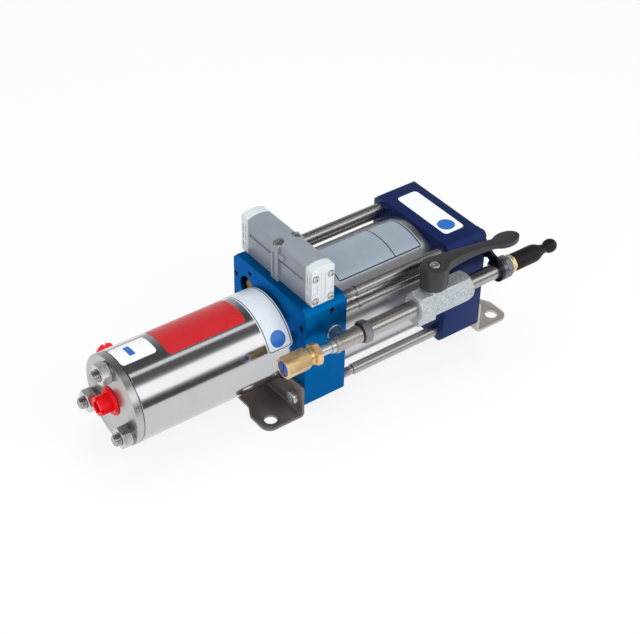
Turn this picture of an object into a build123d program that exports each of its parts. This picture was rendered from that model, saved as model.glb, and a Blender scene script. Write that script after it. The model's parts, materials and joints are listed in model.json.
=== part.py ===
from build123d import *

import os
from math import cos, radians, sin, sqrt, tan

# An air-driven gas booster pump. A large air piston in the middle drives a small gas piston in the
# barrel at the front, a spool valve on top reverses the air, and an air line with a relief valve and
# a ball valve runs along the near side.
#
# Millimetres. +Z is up, +X runs from the gas barrel to the rear cap, and the air line is on the -Y
# side. The origin is on the floor, in the middle of the four holes of the feet.

# Housing
block_len = 40.0
cap_len = 40.0
body_margin = 2.2
edge_chamfer = 5.3
rim_chamfer = 0.6
ground_clearance = 7.0

# Air drive
drive_bore = 88.0
drive_wall = 3.8
drive_spigot_len = 6.0
stroke = 68.0
air_piston_len = 18.0
rod_dia = 20.0
rod_end_dia = 12.0
bush_dia = 28.0
tie_rod_dia = 9.5
tie_rod_end_dia = 8.0
tie_rod_inset_y = 10.0
tie_rod_inset_z = 9.0
tie_rod_thread = 12.0
exposed_thread = 15.0
clamp_screw_dia = 6.0
clamp_screw_grip = 12.0
pin_inset = 10.0
pin_dia = 6.0
pin_proud = 3.45
pin_margin = 0.3

# Gas barrel
gas_bore = 36.0
gas_wall = 5.5
barrel_wall = 1.6
gas_piston_len = 22.0
gas_margin = 3.15
head_flange_len = 6.5
head_body_len = 34.0
head_spigot_len = 6.0
block_spigot_len = 5.0
stud_dia = 10.0
stud_angles = (90, 210, 330)
stud_inner_gap = 1.5
stud_outer_gap = 1.8
stud_proud = 14.7
stud_thread = 18.0
port_dia = 13.2

# Spool valve
valve_start = 7.4
valve_depth = 21.5
valve_height = 33.6
valve_crown = 2.4
valve_y_near = -38.2
valve_y_far = 39.5
valve_cap_len = 9.3
valve_cap_hollow = 4.5
spool_dia = 11.0
spool_rise = 17.0
spool_travel = 3.3
return_port_y = -30.0
inlet_port_y = -14.0
drive_port_y = 14.0
exhaust_port_y = 28.0
pilot_port_y = 34.0

# Tubes from the block to the cap
near_tube_inset = 6.0
near_tube_drop = 19.5
far_tube_inset = 4.0
far_tube_drop = 20.0
tube_dia = 7.0
tube_bore = 5.0
tube_socket = 6.0
collar_rise = 1.0
collar_len = 2.5

# Feet
foot_sheet = 2.4
foot_side_gap = 0.4
foot_reach = 37.0
foot_height = 31.1
foot_arc_gap = 2.8
foot_hole_dia = 11.0
foot_hole_reach = 26.0
foot_hole_inset = 10.6

# Air line, from its front to its rear
line_offset = 14.2
line_drop = 30.5
line_bore = 8.0
relief_len = 38.1
nipple_gap = 13.0
tee_front_len = 8.6
tee_rear_len = 16.7
tee_branch_inset = 12.7
union_len = 8.8
front_pipe_len = 45.0
valve_front_len = 27.8
valve_rear_len = 27.6
ball_dia = 15.0
seat_depth = 8.6
bracket_thick = 3.0
lock_nut_len = 13.6
tape_len = 2.1
coupling_hex_len = 4.5
dust_cap_len = 45.1
lever_rise = 35.5
lever_lean = 2.5

# Clearances, on the radius unless the name says otherwise
fit_gap = 0.05
running_gap = 0.03
seal_gap = 0.01
face_gap = 0.02
end_gap = 0.5
hole_gap = 0.2

# Sizes and places worked out from the sizes above
block_size = drive_bore + 2 * drive_wall + 2 * body_margin
drive_gap = stroke + air_piston_len + 2 * (drive_spigot_len + pin_proud + pin_margin)
gas_room = stroke + gas_piston_len + 2 * gas_margin
barrel_len = head_flange_len + head_body_len + head_spigot_len + gas_room + block_spigot_len
gas_cylinder_dia = gas_bore + 2 * gas_wall
stud_circle_r = gas_cylinder_dia / 2 + stud_inner_gap + stud_dia / 2
barrel_dia = 2 * (stud_circle_r + stud_dia / 2 + stud_outer_gap + barrel_wall)
side_y = block_size / 2
axis_z = ground_clearance + block_size / 2
block_top_z = ground_clearance + block_size
block_rear_x = -drive_gap / 2
block_front_x = block_rear_x - block_len
cap_front_x = drive_gap / 2
cap_rear_x = cap_front_x + cap_len
barrel_front_x = block_front_x - barrel_len
head_shoulder_x = barrel_front_x + head_flange_len + head_body_len
head_end_x = head_shoulder_x + head_spigot_len
gas_mid_x = (head_end_x + block_front_x - block_spigot_len) / 2
valve_mid_x = block_front_x + valve_start + valve_depth / 2
spool_z = block_top_z + spool_rise
spool_mid_y = (valve_y_near + valve_y_far) / 2
pin_z = axis_z + drive_bore / 2 - pin_inset
tie_rod_y = side_y - tie_rod_inset_y
tie_rod_rise = block_size / 2 - tie_rod_inset_z
near_tube_yz = (near_tube_inset - side_y, block_top_z - near_tube_drop)
far_tube_yz = (side_y - far_tube_inset, block_top_z - far_tube_drop)
foot_width = block_size - 2 * foot_side_gap
foot_arc_r = barrel_dia / 2 + foot_arc_gap
foot_hole_y = foot_width / 2 - foot_hole_inset

# The air line's stations
line_y = -side_y - line_offset
line_z = block_top_z - line_drop
tee_branch_x = block_rear_x - tee_branch_inset
tee_front_x = tee_branch_x - tee_front_len
tee_rear_x = tee_branch_x + tee_rear_len
relief_rear_x = tee_front_x - nipple_gap
relief_front_x = relief_rear_x - relief_len
union_rear_x = tee_rear_x + union_len
valve_front_x = union_rear_x + front_pipe_len
valve_seam_x = valve_front_x + valve_front_len
valve_rear_x = valve_seam_x + valve_rear_len
ball_x = valve_seam_x - seat_depth
lock_nut_rear_x = cap_rear_x + bracket_thick + lock_nut_len
hex_front_x = lock_nut_rear_x + tape_len
hex_rear_x = hex_front_x + coupling_hex_len
lever_top = line_z + lever_rise

AXIS = (0, 0, axis_z)
LINE = (0, line_y, line_z)
ALONG_X = (1, 0, 0)
ALONG_Y = (0, 1, 0)
ALONG_Z = (0, 0, 1)
tie_rod_places = [(0, y, axis_z + z) for y in (-tie_rod_y, tie_rod_y) for z in (-tie_rod_rise, tie_rod_rise)]
low_rod_places = [place for place in tie_rod_places if place[2] < axis_z]
stud_places = [
    (0, stud_circle_r * cos(radians(angle)), axis_z + stud_circle_r * sin(radians(angle)))
    for angle in stud_angles
]


def placed(shape, origin, along):
    """Moves a shape made along Z so that its height runs from origin in another direction."""
    return Plane(origin=origin, z_dir=along).location * shape


def turned(outline, origin=AXIS, along=ALONG_X):
    """Turns an outline of (radius, distance) points or lines about a line from origin."""
    lines = Polyline(*outline, close=True) if isinstance(outline, list) else outline
    return placed(revolve(Plane.XZ * make_face(lines), Axis.Z), origin, along)


def rod(diameter, start, end, origin=AXIS, along=ALONG_X):
    """A round bar from one distance to another along a line from origin."""
    shape = Pos(0, 0, start) * extrude(Circle(diameter / 2), end - start)
    return placed(shape, origin, along)


def ring(outer, inner, start, end, origin=AXIS, along=ALONG_X):
    """A tube with an outer and an inner diameter."""
    shape = Pos(0, 0, start) * extrude(Circle(outer / 2) - Circle(inner / 2), end - start)
    return placed(shape, origin, along)


def hex_bar(across, start, end, origin=AXIS, along=ALONG_X, turn=0.0):
    """A plain hexagonal bar. A turn of 30 degrees puts a flat where a corner was."""
    section = Rot(0, 0, turn) * RegularPolygon(across / sqrt(3), 6)
    return placed(Pos(0, 0, start) * extrude(section, end - start), origin, along)


def hex_nut(across, start, end, bore=0.0, origin=AXIS, along=ALONG_X, turn=0.0):
    """A hexagon with its corners turned off at both ends, and a bore if there is one."""
    corner_r = across / sqrt(3)
    turned_off = (corner_r - across / 2) * tan(radians(30)) + 0.3
    envelope = turned(
        [
            (0, start),
            (across / 2 - 0.3, start),
            (corner_r, start + turned_off),
            (corner_r, end - turned_off),
            (across / 2 - 0.3, end),
            (0, end),
        ],
        origin,
        along,
    )
    nut = hex_bar(across, start, end, origin, along, turn) & envelope
    if bore:
        nut -= rod(bore, start - 1, end + 1, origin, along)
    return nut


def drilling(diameter, start, end, beyond=0.0):
    """A straight drilled hole between two points, and on beyond the second where it leaves a face."""
    line = Vector(*end) - Vector(*start)
    return rod(diameter, 0, line.length + beyond, start, tuple(line))


def spring(mean_dia, wire_dia, turns, start, end, origin=AXIS, along=ALONG_X):
    """A coil spring between two faces along a line from origin, its wire just clear of both."""
    low = start + wire_dia / 2 + face_gap
    high = end - wire_dia / 2 - face_gap
    coil = Helix((high - low) / turns, high - low, mean_dia / 2)
    wire = sweep(Plane(origin=coil @ 0, z_dir=coil % 0) * Circle(wire_dia / 2), path=coil)
    return placed(Pos(0, 0, low) * wire, origin, along)


def square_body(x_start, length):
    """A square body with chamfered long edges and a small chamfer round both ends."""
    body = Pos(x_start + length / 2, 0, axis_z) * Box(length, block_size, block_size)
    body = chamfer(body.edges().filter_by(Axis.X), edge_chamfer)
    ends = body.faces().sort_by(Axis.X)
    return chamfer(ends[0].edges() + ends[-1].edges(), rim_chamfer)


def socket_screw(diameter, head_x, tip_x, place, outward=-1):
    """A socket head screw along X whose head stands outward of head_x."""
    head_dia = diameter / 0.6
    socket_across = diameter * 0.833
    head_end = head_x + outward * diameter
    socket_end = head_end - outward * diameter / 2
    low, high = sorted((head_x, head_end))
    screw = rod(head_dia, low, high, place) + rod(diameter, *sorted((head_x, tip_x)), place)
    return screw - hex_bar(socket_across, *sorted((head_end, socket_end)), place)


# Centre block and rear cap

seal_groove_start = 1.5
drive_seal_width = 3.0
drive_seal_depth = 2.0
gas_seal_width = 2.5
gas_seal_depth = 1.95
head_groove_x = head_shoulder_x + 2.0
rod_seal_width = 4.0
rod_seal_dia = 26.0
bush_seal_dia = 25.0
bush_front_x = block_front_x + 2.75
bush_rear_x = block_rear_x + 4.0
bush_groove_x = bush_rear_x - 4.7
bush_seal_width = 3.0
gas_groove_x = block_front_x - block_spigot_len + 1.25
rod_groove_x = gas_groove_x + 1.0
seal_end_gap = 0.1
silencer_inset = 19.5
silencer_drop = 25.0
silencer_yz = (side_y - silencer_inset, block_top_z - silencer_drop)
silencer_thread_dia = 10.0
silencer_thread_len = 6.0
silencer_recess_dia = 20.0
silencer_recess_depth = 14.0
silencer_across = 15.0
silencer_foot_len = 3.5
silencer_recess = 2.2
silencer_slope = 2.4
tee_thread_dia = 9.7
tee_thread_len = 9.0
plug_dia = 5.0
plug_recess = 0.5
plug_len = 4.0
plug_socket_across = 2.5
plug_socket_len = 2.0
airway_dia = 5.0
pilot_dia = 3.0
side_airway_inset = 14.75
side_airway_drop = 8.3
upper_airway_inset = 23.7
upper_airway_drop = 8.9
side_airway = (block_rear_x - side_airway_inset, -side_y, block_top_z - side_airway_drop)
upper_airway = (block_front_x, side_y - upper_airway_inset, block_top_z - upper_airway_drop)
short_airway_len = 8.0
chamber_inset = 5.5
chamber_turn = 10.0
chamber_r = drive_bore / 2 - chamber_inset
front_chamber_yz = (drive_port_y, axis_z + sqrt(chamber_r**2 - drive_port_y**2))
rear_chamber_angle = radians(137)
rear_chamber_yz = (chamber_r * cos(rear_chamber_angle), axis_z + chamber_r * sin(rear_chamber_angle))
chamber_turn_x = block_rear_x - chamber_turn
thread_relief = 1.0
valve_screw_dia = 4.0
valve_screw_depth = 10.0
pin_cavity_dia = 10.0
pin_cavity_depth = 14.0
nut_pocket_dia = 32.0
nut_pocket_depth = 10.0


def airway_plug_places():
    """The mouth and inward direction of each plugged drilling of the block."""
    return [
        ((block_front_x, *near_tube_yz), ALONG_X),
        ((block_front_x, *far_tube_yz), ALONG_X),
        (upper_airway, ALONG_X),
        (side_airway, ALONG_Y),
    ]


def drive_spigot(face_x, direction):
    """The short round spigot that carries one end of the drive tube, with its seal groove."""
    tip_x = face_x + direction * drive_spigot_len
    groove = (
        face_x + direction * seal_groove_start,
        face_x + direction * (seal_groove_start + drive_seal_width),
    )
    spigot_dia = drive_bore - 2 * fit_gap
    spigot = rod(spigot_dia, *sorted((face_x, tip_x)))
    return spigot - ring(spigot_dia + 2, drive_bore - 2 * drive_seal_depth - 2 * fit_gap, *sorted(groove))


def block_airways():
    """The drillings that lead the air between the line, the valve, the tubes and the silencer.

    The ways up to the valve end under its ports, so the two from the sides of the drive lean forward.
    """
    top = block_top_z
    chamber = (chamber_turn_x, *front_chamber_yz)
    inlet_turn = (tee_branch_x, inlet_port_y, line_z)
    exhaust = (valve_mid_x, exhaust_port_y, silencer_yz[1])
    return [
        drilling(airway_dia, (tee_branch_x, -side_y, line_z), inlet_turn),
        drilling(airway_dia, inlet_turn, (valve_mid_x, inlet_port_y, top), airway_dia),
        drilling(airway_dia, chamber, (valve_mid_x, drive_port_y, top), airway_dia),
        drilling(airway_dia, chamber, (block_rear_x + drive_spigot_len, *front_chamber_yz)),
        drilling(airway_dia, (block_front_x, *near_tube_yz), (block_rear_x, *near_tube_yz)),
        drilling(airway_dia, (valve_mid_x, *near_tube_yz), (valve_mid_x, return_port_y, top), airway_dia),
        drilling(airway_dia, (block_front_x, *far_tube_yz), (block_rear_x, *far_tube_yz)),
        drilling(pilot_dia, (valve_mid_x, *far_tube_yz), (valve_mid_x, pilot_port_y, top), airway_dia),
        drilling(airway_dia, exhaust, (valve_mid_x, exhaust_port_y, top)),
        drilling(plug_dia, upper_airway, (block_front_x + short_airway_len, *upper_airway[1:])),
        drilling(plug_dia, side_airway, (side_airway[0], short_airway_len - side_y, side_airway[2])),
    ]


def centre_block():
    """The blue block between the barrel and the drive tube, which also carries the valve."""
    body = square_body(block_front_x, block_len)
    spigot_end = block_front_x - block_spigot_len
    spigot_dia = gas_bore - 2 * fit_gap
    body += rod(spigot_dia, spigot_end, block_front_x)
    groove_end = gas_groove_x + gas_seal_width
    body -= ring(spigot_dia + 2, spigot_dia - 2 * gas_seal_depth, gas_groove_x, groove_end)
    body += drive_spigot(block_rear_x, 1)
    body -= rod(rod_dia + 0.6, spigot_end - 1, block_rear_x)
    body -= rod(rod_seal_dia, rod_groove_x, rod_groove_x + rod_seal_width)
    body -= rod(bush_dia, bush_front_x, block_rear_x + drive_spigot_len + 1)
    for place in tie_rod_places:
        body -= rod(tie_rod_end_dia + 2 * fit_gap, block_rear_x - tie_rod_thread, block_rear_x, place)
    for place in low_rod_places:
        screw_end = block_front_x + clamp_screw_grip + 2 * thread_relief
        body -= rod(clamp_screw_dia + 2 * fit_gap, block_front_x, screw_end, place)
    for place in stud_places:
        stud_end = block_front_x + stud_thread + thread_relief
        body -= rod(stud_dia + 2 * fit_gap, block_front_x, stud_end, place)
    for y, z in (near_tube_yz, far_tube_yz):
        body -= rod(tube_dia + 2 * fit_gap, block_rear_x - tube_socket, block_rear_x, (0, y, z))
    silencer = (0, *silencer_yz)
    recess_end = block_front_x + silencer_recess_depth
    body -= rod(silencer_recess_dia, block_front_x, recess_end, silencer)
    thread_end = recess_end + silencer_thread_len + thread_relief
    body -= rod(silencer_thread_dia + 2 * fit_gap, recess_end, thread_end, silencer)
    tee_mouth = (tee_branch_x, -side_y, line_z)
    body -= rod(tee_thread_dia + 2 * fit_gap, 0, tee_thread_len + thread_relief, tee_mouth, ALONG_Y)
    pin_x = block_rear_x + drive_spigot_len
    body -= rod(pin_cavity_dia, pin_x - pin_cavity_depth, pin_x, (0, 0, pin_z))
    for x in valve_screw_places():
        low = block_top_z - valve_screw_depth - thread_relief
        body -= rod(valve_screw_dia + 2 * fit_gap, low, block_top_z, (x, 0, 0), ALONG_Z)
    for hole in block_airways():
        body -= hole
    return body


def rear_cap():
    """The dark cap that closes the drive tube and carries the rear foot and the line bracket."""
    body = square_body(cap_front_x, cap_len)
    body += drive_spigot(cap_front_x, -1)
    spigot_x = cap_front_x - drive_spigot_len
    body -= rod(nut_pocket_dia, spigot_x, spigot_x + nut_pocket_depth)
    for place in tie_rod_places:
        body -= rod(clamp_screw_dia + 2 * hole_gap, cap_front_x, cap_rear_x, place)
    for y, z in (near_tube_yz, far_tube_yz):
        body -= rod(tube_dia + 2 * fit_gap, cap_front_x, cap_front_x + tube_socket, (0, y, z))
    cavity_end = spigot_x + pin_cavity_depth
    body -= rod(pin_cavity_dia, spigot_x, cavity_end, (0, 0, pin_z))
    chamber_y, chamber_z = rear_chamber_yz
    turn_x = cap_front_x + tube_socket + airway_dia / 2 + 0.5
    body -= drilling(airway_dia, (cap_front_x, *near_tube_yz), (turn_x, *near_tube_yz))
    body -= drilling(airway_dia, (turn_x, *near_tube_yz), (turn_x, chamber_y, chamber_z))
    body -= drilling(airway_dia, (spigot_x, chamber_y, chamber_z), (turn_x, chamber_y, chamber_z))
    pilot_x = cavity_end - 2
    body -= drilling(pilot_dia, (pilot_x, 0, pin_z), (pilot_x, *far_tube_yz))
    body -= drilling(airway_dia, (cap_front_x, *far_tube_yz), (pilot_x + 2, *far_tube_yz))
    return body


def rod_bush():
    """The bronze bush of the piston rod, pressed into the block from the drive side."""
    bush = ring(bush_dia - 2 * seal_gap, rod_dia + 2 * running_gap, bush_front_x, bush_rear_x)
    return bush - rod(bush_seal_dia, bush_groove_x, bush_groove_x + bush_seal_width)


def rod_seals():
    """The two seals of the piston rod, one on the gas side and one in the bush."""
    inner = rod_dia + 2 * seal_gap
    seals = []
    for outer, start, width in (
        (rod_seal_dia, rod_groove_x, rod_seal_width),
        (bush_seal_dia, bush_groove_x, bush_seal_width),
    ):
        seals.append(ring(outer - 2 * seal_gap, inner, start + seal_end_gap, start + width - seal_end_gap))
    return seals


def airway_plugs():
    """The four screwed plugs that close the drillings, each with a socket."""
    plugs = []
    for mouth, inward in airway_plug_places():
        plug = rod(plug_dia - 2 * seal_gap, plug_recess, plug_recess + plug_len, mouth, inward)
        socket_end = plug_recess + plug_socket_len
        plugs.append(plug - hex_bar(plug_socket_across, plug_recess, socket_end, mouth, inward))
    return plugs


def silencer():
    """The sintered bronze silencer in its recess, with a hexagon foot and a thread."""
    place = (0, *silencer_yz)
    recess_end = block_front_x + silencer_recess_depth
    foot_start = recess_end - silencer_foot_len
    foot = hex_bar(silencer_across, foot_start, recess_end, place)
    nose_x = block_front_x + silencer_recess
    radius = silencer_across / 2
    nose = [(0, nose_x), (radius - silencer_slope, nose_x), (radius, nose_x + silencer_slope)]
    body = turned(nose + [(radius, foot_start), (0, foot_start)], place)
    thread = rod(silencer_thread_dia, recess_end, recess_end + silencer_thread_len, place)
    return foot + body + thread


# Air drive

air_seal_groove = (1.0, 5.0)
air_guide_groove = (-7.5, -3.5)
air_piston_dia = drive_bore - 1.0
air_groove_dia = drive_bore - 7.0
air_pocket_dia = 56.0
air_pocket_bore = 32.0
air_pocket_depth = 3.0
gas_pocket_dia = 24.0
gas_groove_start = 2.0
gas_groove_width = 4.0
gas_groove_depth = 3.05
pilot_guide_len = 4.0
pilot_guide_recess = 0.5
pin_collar_len = 2.0
piston_nut_across = 19.0
piston_nut_len = 8.0
gas_nut_pocket = 9.0
rod_tip = 1.0


def drive_tube():
    """The polished tube in which the air piston runs."""
    outer = drive_bore + 2 * drive_wall
    return ring(outer, drive_bore, block_rear_x, cap_front_x)


def cylinder_seals():
    """The rings that seal both ends of the drive tube and of the gas cylinder."""
    seals = []
    for face_x, direction in ((block_rear_x, 1), (cap_front_x, -1)):
        near = face_x + direction * (seal_groove_start + seal_end_gap)
        far = face_x + direction * (seal_groove_start + drive_seal_width - seal_end_gap)
        inner = drive_bore - 2 * drive_seal_depth
        seals.append(ring(drive_bore - 2 * seal_gap, inner, *sorted((near, far))))
    inner = gas_bore - 2 * gas_seal_depth
    for start in (head_groove_x, gas_groove_x):
        end = start + gas_seal_width - seal_end_gap
        seals.append(ring(gas_bore - 2 * seal_gap, inner, start + seal_end_gap, end))
    return seals


def tie_rods():
    """The four rods round the drive tube, turned down for their last stretch before the block."""
    shoulder_x = block_rear_x + exposed_thread
    socket = clamp_screw_dia + 2 * fit_gap
    rods = []
    for place in tie_rod_places:
        bar = rod(tie_rod_end_dia, block_rear_x - tie_rod_thread + end_gap, shoulder_x, place)
        bar += rod(tie_rod_dia, shoulder_x, cap_front_x, place)
        socket_start = cap_front_x - clamp_screw_grip - 4 * thread_relief
        rods.append(bar - rod(socket, socket_start, cap_front_x, place))
    return rods


def tie_rod_screws():
    """The four long screws through the cap, which also hold the rear foot and the line bracket."""
    screws = []
    for place in tie_rod_places:
        on_foot = place[2] < axis_z
        on_bracket = not on_foot and place[1] < 0
        clamped = foot_sheet if on_foot else bracket_thick if on_bracket else 0
        head_x = cap_rear_x + clamped
        tip_x = head_x - cap_len - clamp_screw_grip
        screws.append(socket_screw(clamp_screw_dia, head_x, tip_x, place, outward=1))
    return screws


def air_tubes():
    """The drive air tube and the pilot air tube beside the drive tube, each with a collar."""
    collar_x = block_rear_x + exposed_thread
    tubes = []
    for y, z in (near_tube_yz, far_tube_yz):
        place = (0, y, z)
        start = block_rear_x - tube_socket + end_gap
        tube = ring(tube_dia, tube_bore, start, cap_front_x + tube_socket - end_gap, place)
        collar = ring(tube_dia + 2 * collar_rise, tube_bore, collar_x, collar_x + collar_len, place)
        tubes.append(tube + collar)
    return tubes


def air_piston():
    """The air piston with its seal and guide grooves and lightened faces."""
    half = air_piston_len / 2
    piston = ring(air_piston_dia, rod_end_dia + 2 * fit_gap, -half, half)
    for start, end in (air_seal_groove, air_guide_groove):
        piston -= ring(air_piston_dia + 2, air_groove_dia, start, end)
    for start, end in ((-half, air_pocket_depth - half), (half - air_pocket_depth, half)):
        piston -= ring(air_pocket_dia, air_pocket_bore, start, end)
    return piston


def air_piston_guide():
    """The slide ring that keeps the air piston off the tube."""
    start, end = air_guide_groove
    inner = air_groove_dia + 2 * fit_gap
    return ring(drive_bore - 2 * running_gap, inner, start + seal_end_gap, end - seal_end_gap)


def piston_seals():
    """The seals of the air piston and of the gas piston."""
    start, end = air_seal_groove
    gas_start = gas_mid_x + gas_groove_start
    gas_end = gas_start + gas_groove_width
    air_inner = air_groove_dia + 2 * fit_gap
    gas_inner = gas_bore - 2 * gas_groove_depth + 2 * fit_gap
    return [
        ring(drive_bore - 2 * seal_gap, air_inner, start + seal_end_gap, end - seal_end_gap),
        ring(gas_bore - 2 * seal_gap, gas_inner, gas_start + seal_end_gap, gas_end - seal_end_gap),
    ]


def piston_rod():
    """The rod that joins both pistons, with a turned end through each."""
    front_shoulder = gas_mid_x + gas_piston_len / 2
    front_tip = gas_mid_x - gas_piston_len / 2 + end_gap
    rear_shoulder = -air_piston_len / 2
    rear_tip = air_piston_len / 2 + piston_nut_len + rod_tip
    bar = rod(rod_dia, front_shoulder, rear_shoulder)
    return bar + rod(rod_end_dia, front_tip, rear_tip)


def piston_nuts():
    """The nut of each piston."""
    bore = rod_end_dia + 2 * fit_gap
    gas_nut_x = gas_mid_x - gas_piston_len / 2 + gas_nut_pocket
    return [
        hex_nut(piston_nut_across, air_piston_len / 2, air_piston_len / 2 + piston_nut_len, bore),
        hex_nut(piston_nut_across, gas_nut_x - piston_nut_len, gas_nut_x, bore),
    ]


def gas_piston():
    """The gas piston, with a pocket for its nut and a groove for its seal."""
    front = gas_mid_x - gas_piston_len / 2
    rear = gas_mid_x + gas_piston_len / 2
    piston = ring(gas_bore - 2 * running_gap, rod_end_dia + 2 * fit_gap, front, rear)
    piston -= rod(gas_pocket_dia, front, front + gas_nut_pocket)
    groove_start = gas_mid_x + gas_groove_start
    groove_dia = gas_bore - 2 * gas_groove_depth
    return piston - ring(gas_bore + 2, groove_dia, groove_start, groove_start + gas_groove_width)


def pilot_guides():
    """The bushes that hold the two pilot pins in the block and in the cap."""
    guides = []
    for face_x, direction in ((block_rear_x, 1), (cap_front_x, -1)):
        end = face_x + direction * (drive_spigot_len - pilot_guide_recess)
        start = end - direction * pilot_guide_len
        bore = pin_dia + 2 * running_gap
        place = (0, 0, pin_z)
        guides.append(ring(pin_cavity_dia - 2 * seal_gap, bore, *sorted((start, end)), place))
    return guides


def pilot_pin(face_x, direction):
    """One pilot pin: it stands proud of the spigot until the air piston pushes it in."""
    place = (0, 0, pin_z)
    tip = face_x + direction * (drive_spigot_len + pin_proud)
    guide_end = drive_spigot_len - pilot_guide_recess - pilot_guide_len
    collar = face_x + direction * (guide_end - face_gap)
    collar_end = collar - direction * pin_collar_len
    pin = rod(pin_dia, *sorted((tip, collar_end)), place)
    return pin + rod(pin_cavity_dia - 4 * hole_gap, *sorted((collar, collar_end)), place)


# Gas barrel

port_depth = 10.5
retainer_len = 3.0
retainer_hole = 6.0
retainer_gap = 1.5
outlet_seat_wall = 11.7
outlet_retainer_x = barrel_front_x + port_depth + retainer_gap
outlet_seat_x = head_shoulder_x - outlet_seat_wall
check_bore = 14.0
check_seat_dia = 7.0
check_way_dia = 3.6
check_way_sink = 0.4
poppet_disc = 3.0
poppet_stem_dia = 5.0
poppet_slope = 1.0
spring_dia = 9.0
spring_wire = 1.2
spring_turns = 4.5
inlet_offset = 2.3
inlet_collar_proud = 3.1
inlet_seat_depth = 11.4
inlet_chamber_len = 14.5
inlet_x = barrel_front_x + head_flange_len + head_body_len / 2 + inlet_offset
inlet_adapter_y = barrel_dia / 2 + inlet_collar_proud
inlet_seat_y = barrel_dia / 2 - inlet_seat_depth
inlet_bottom_y = inlet_seat_y - inlet_chamber_len
inlet_thread_dia = 17.0
inlet_collar_dia = 26.0
inlet_way_dia = 6.0
nut_across = 16.5
nut_len = 8.5
washer_dia = 18.0
washer_len = 1.5
stud_tip_chamfer = 0.8
plug_rim_dia = 24.4
plug_rim_len = 1.4
plug_flange_dia = 21.0
plug_flange_len = 2.5
plug_across = 15.2
plug_hex_len = 10.5
plug_shank_len = 9.0
plug_socket_dia = 9.5
plug_socket_depth = 6.0
head_gap = 0.5


def gas_head():
    """The head of the barrel, with the outlet check along its axis and the inlet check at its side."""
    flange_end = barrel_front_x + head_flange_len
    head = rod(barrel_dia, barrel_front_x, flange_end)
    head = chamfer(head.faces().sort_by(Axis.X)[0].edges(), rim_chamfer)
    head += rod(barrel_dia - 2 * barrel_wall - 2 * fit_gap, flange_end, head_shoulder_x)
    spigot_dia = gas_bore - 2 * fit_gap
    head += rod(spigot_dia, head_shoulder_x, head_end_x)
    groove_dia = spigot_dia - 2 * gas_seal_depth
    head -= ring(spigot_dia + 2, groove_dia, head_groove_x, head_groove_x + gas_seal_width)
    for place in stud_places:
        head -= rod(stud_dia + 2 * hole_gap, barrel_front_x, head_shoulder_x, place)
    head -= rod(port_dia, barrel_front_x, barrel_front_x + port_depth)
    head -= rod(check_bore, barrel_front_x + port_depth, outlet_seat_x)
    head -= rod(check_seat_dia, outlet_seat_x, head_end_x)
    side = (inlet_x, 0, axis_z)
    head -= rod(inlet_thread_dia + 2 * fit_gap, inlet_seat_y, barrel_dia / 2, side, ALONG_Y)
    head -= rod(check_bore, inlet_bottom_y, inlet_seat_y, side, ALONG_Y)
    # The way sinks a little into the chamber's bottom, so that it breaks out in a clean edge.
    way_y = inlet_bottom_y + check_way_dia / 2 - check_way_sink
    head -= drilling(check_way_dia, (inlet_x, way_y, axis_z), (head_end_x, way_y, axis_z))
    return head


def gas_cylinder():
    """The inner cylinder of the gas piston, held between the head and the block."""
    return ring(gas_cylinder_dia, gas_bore, head_shoulder_x, block_front_x)


def barrel_jacket():
    """The polished tube round the gas cylinder, with a hole for the inlet adapter."""
    start = barrel_front_x + head_flange_len + head_gap
    jacket = ring(barrel_dia, barrel_dia - 2 * barrel_wall, start, block_front_x)
    side = (inlet_x, 0, axis_z)
    return jacket - rod(inlet_collar_dia + 2 * hole_gap, inlet_seat_y, barrel_dia, side, ALONG_Y)


def gas_studs():
    """The three studs that clamp the head to the block."""
    tip_x = barrel_front_x - stud_proud
    studs = []
    for place in stud_places:
        stud = rod(stud_dia, tip_x, block_front_x + stud_thread, place)
        studs.append(chamfer(stud.faces().sort_by(Axis.X)[0].edges(), stud_tip_chamfer))
    return studs


def gas_stud_nuts():
    """The nuts of the studs."""
    start = barrel_front_x - washer_len - nut_len
    bore = stud_dia + 2 * fit_gap
    return [hex_nut(nut_across, start, start + nut_len, bore, place) for place in stud_places]


def gas_stud_washers():
    """The washers under those nuts."""
    start = barrel_front_x - washer_len
    bore = stud_dia + 2 * hole_gap
    return [ring(washer_dia, bore, start, barrel_front_x, place) for place in stud_places]


def outlet_retainer():
    """The screwed ring that holds the outlet spring, with a hole for the gas."""
    end = outlet_retainer_x + retainer_len
    return ring(check_bore - 2 * seal_gap, retainer_hole, outlet_retainer_x, end)


def poppet(seat, place, along):
    """A check poppet that closes a seat at a distance along a line, with a stem for its spring."""
    face = seat - face_gap
    back = face - poppet_disc
    stem_r = poppet_stem_dia / 2
    disc_r = check_bore / 2 - hole_gap
    stem = [(0, back - poppet_disc), (stem_r, back - poppet_disc), (stem_r, back)]
    disc = [(disc_r, back), (disc_r, face - poppet_slope), (disc_r - poppet_slope, face), (0, face)]
    return turned(stem + disc, place, along)


def outlet_poppet():
    """The outlet check poppet, which opens towards the front port."""
    return poppet(outlet_seat_x, AXIS, ALONG_X)


def outlet_spring():
    """The coil spring that closes the outlet poppet."""
    end = outlet_seat_x - poppet_disc - face_gap
    return spring(spring_dia, spring_wire, spring_turns, outlet_retainer_x + retainer_len, end)


def inlet_adapter():
    """The screwed adapter of the gas inlet, whose inner end is the seat of the inlet check."""
    side = (inlet_x, 0, axis_z)
    adapter = rod(inlet_thread_dia, inlet_seat_y, barrel_dia / 2 - barrel_wall, side, ALONG_Y)
    adapter += rod(inlet_collar_dia, barrel_dia / 2 - barrel_wall, inlet_adapter_y, side, ALONG_Y)
    adapter -= rod(port_dia, inlet_adapter_y - port_depth, inlet_adapter_y, side, ALONG_Y)
    return adapter - rod(inlet_way_dia, inlet_seat_y, inlet_adapter_y, side, ALONG_Y)


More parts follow.
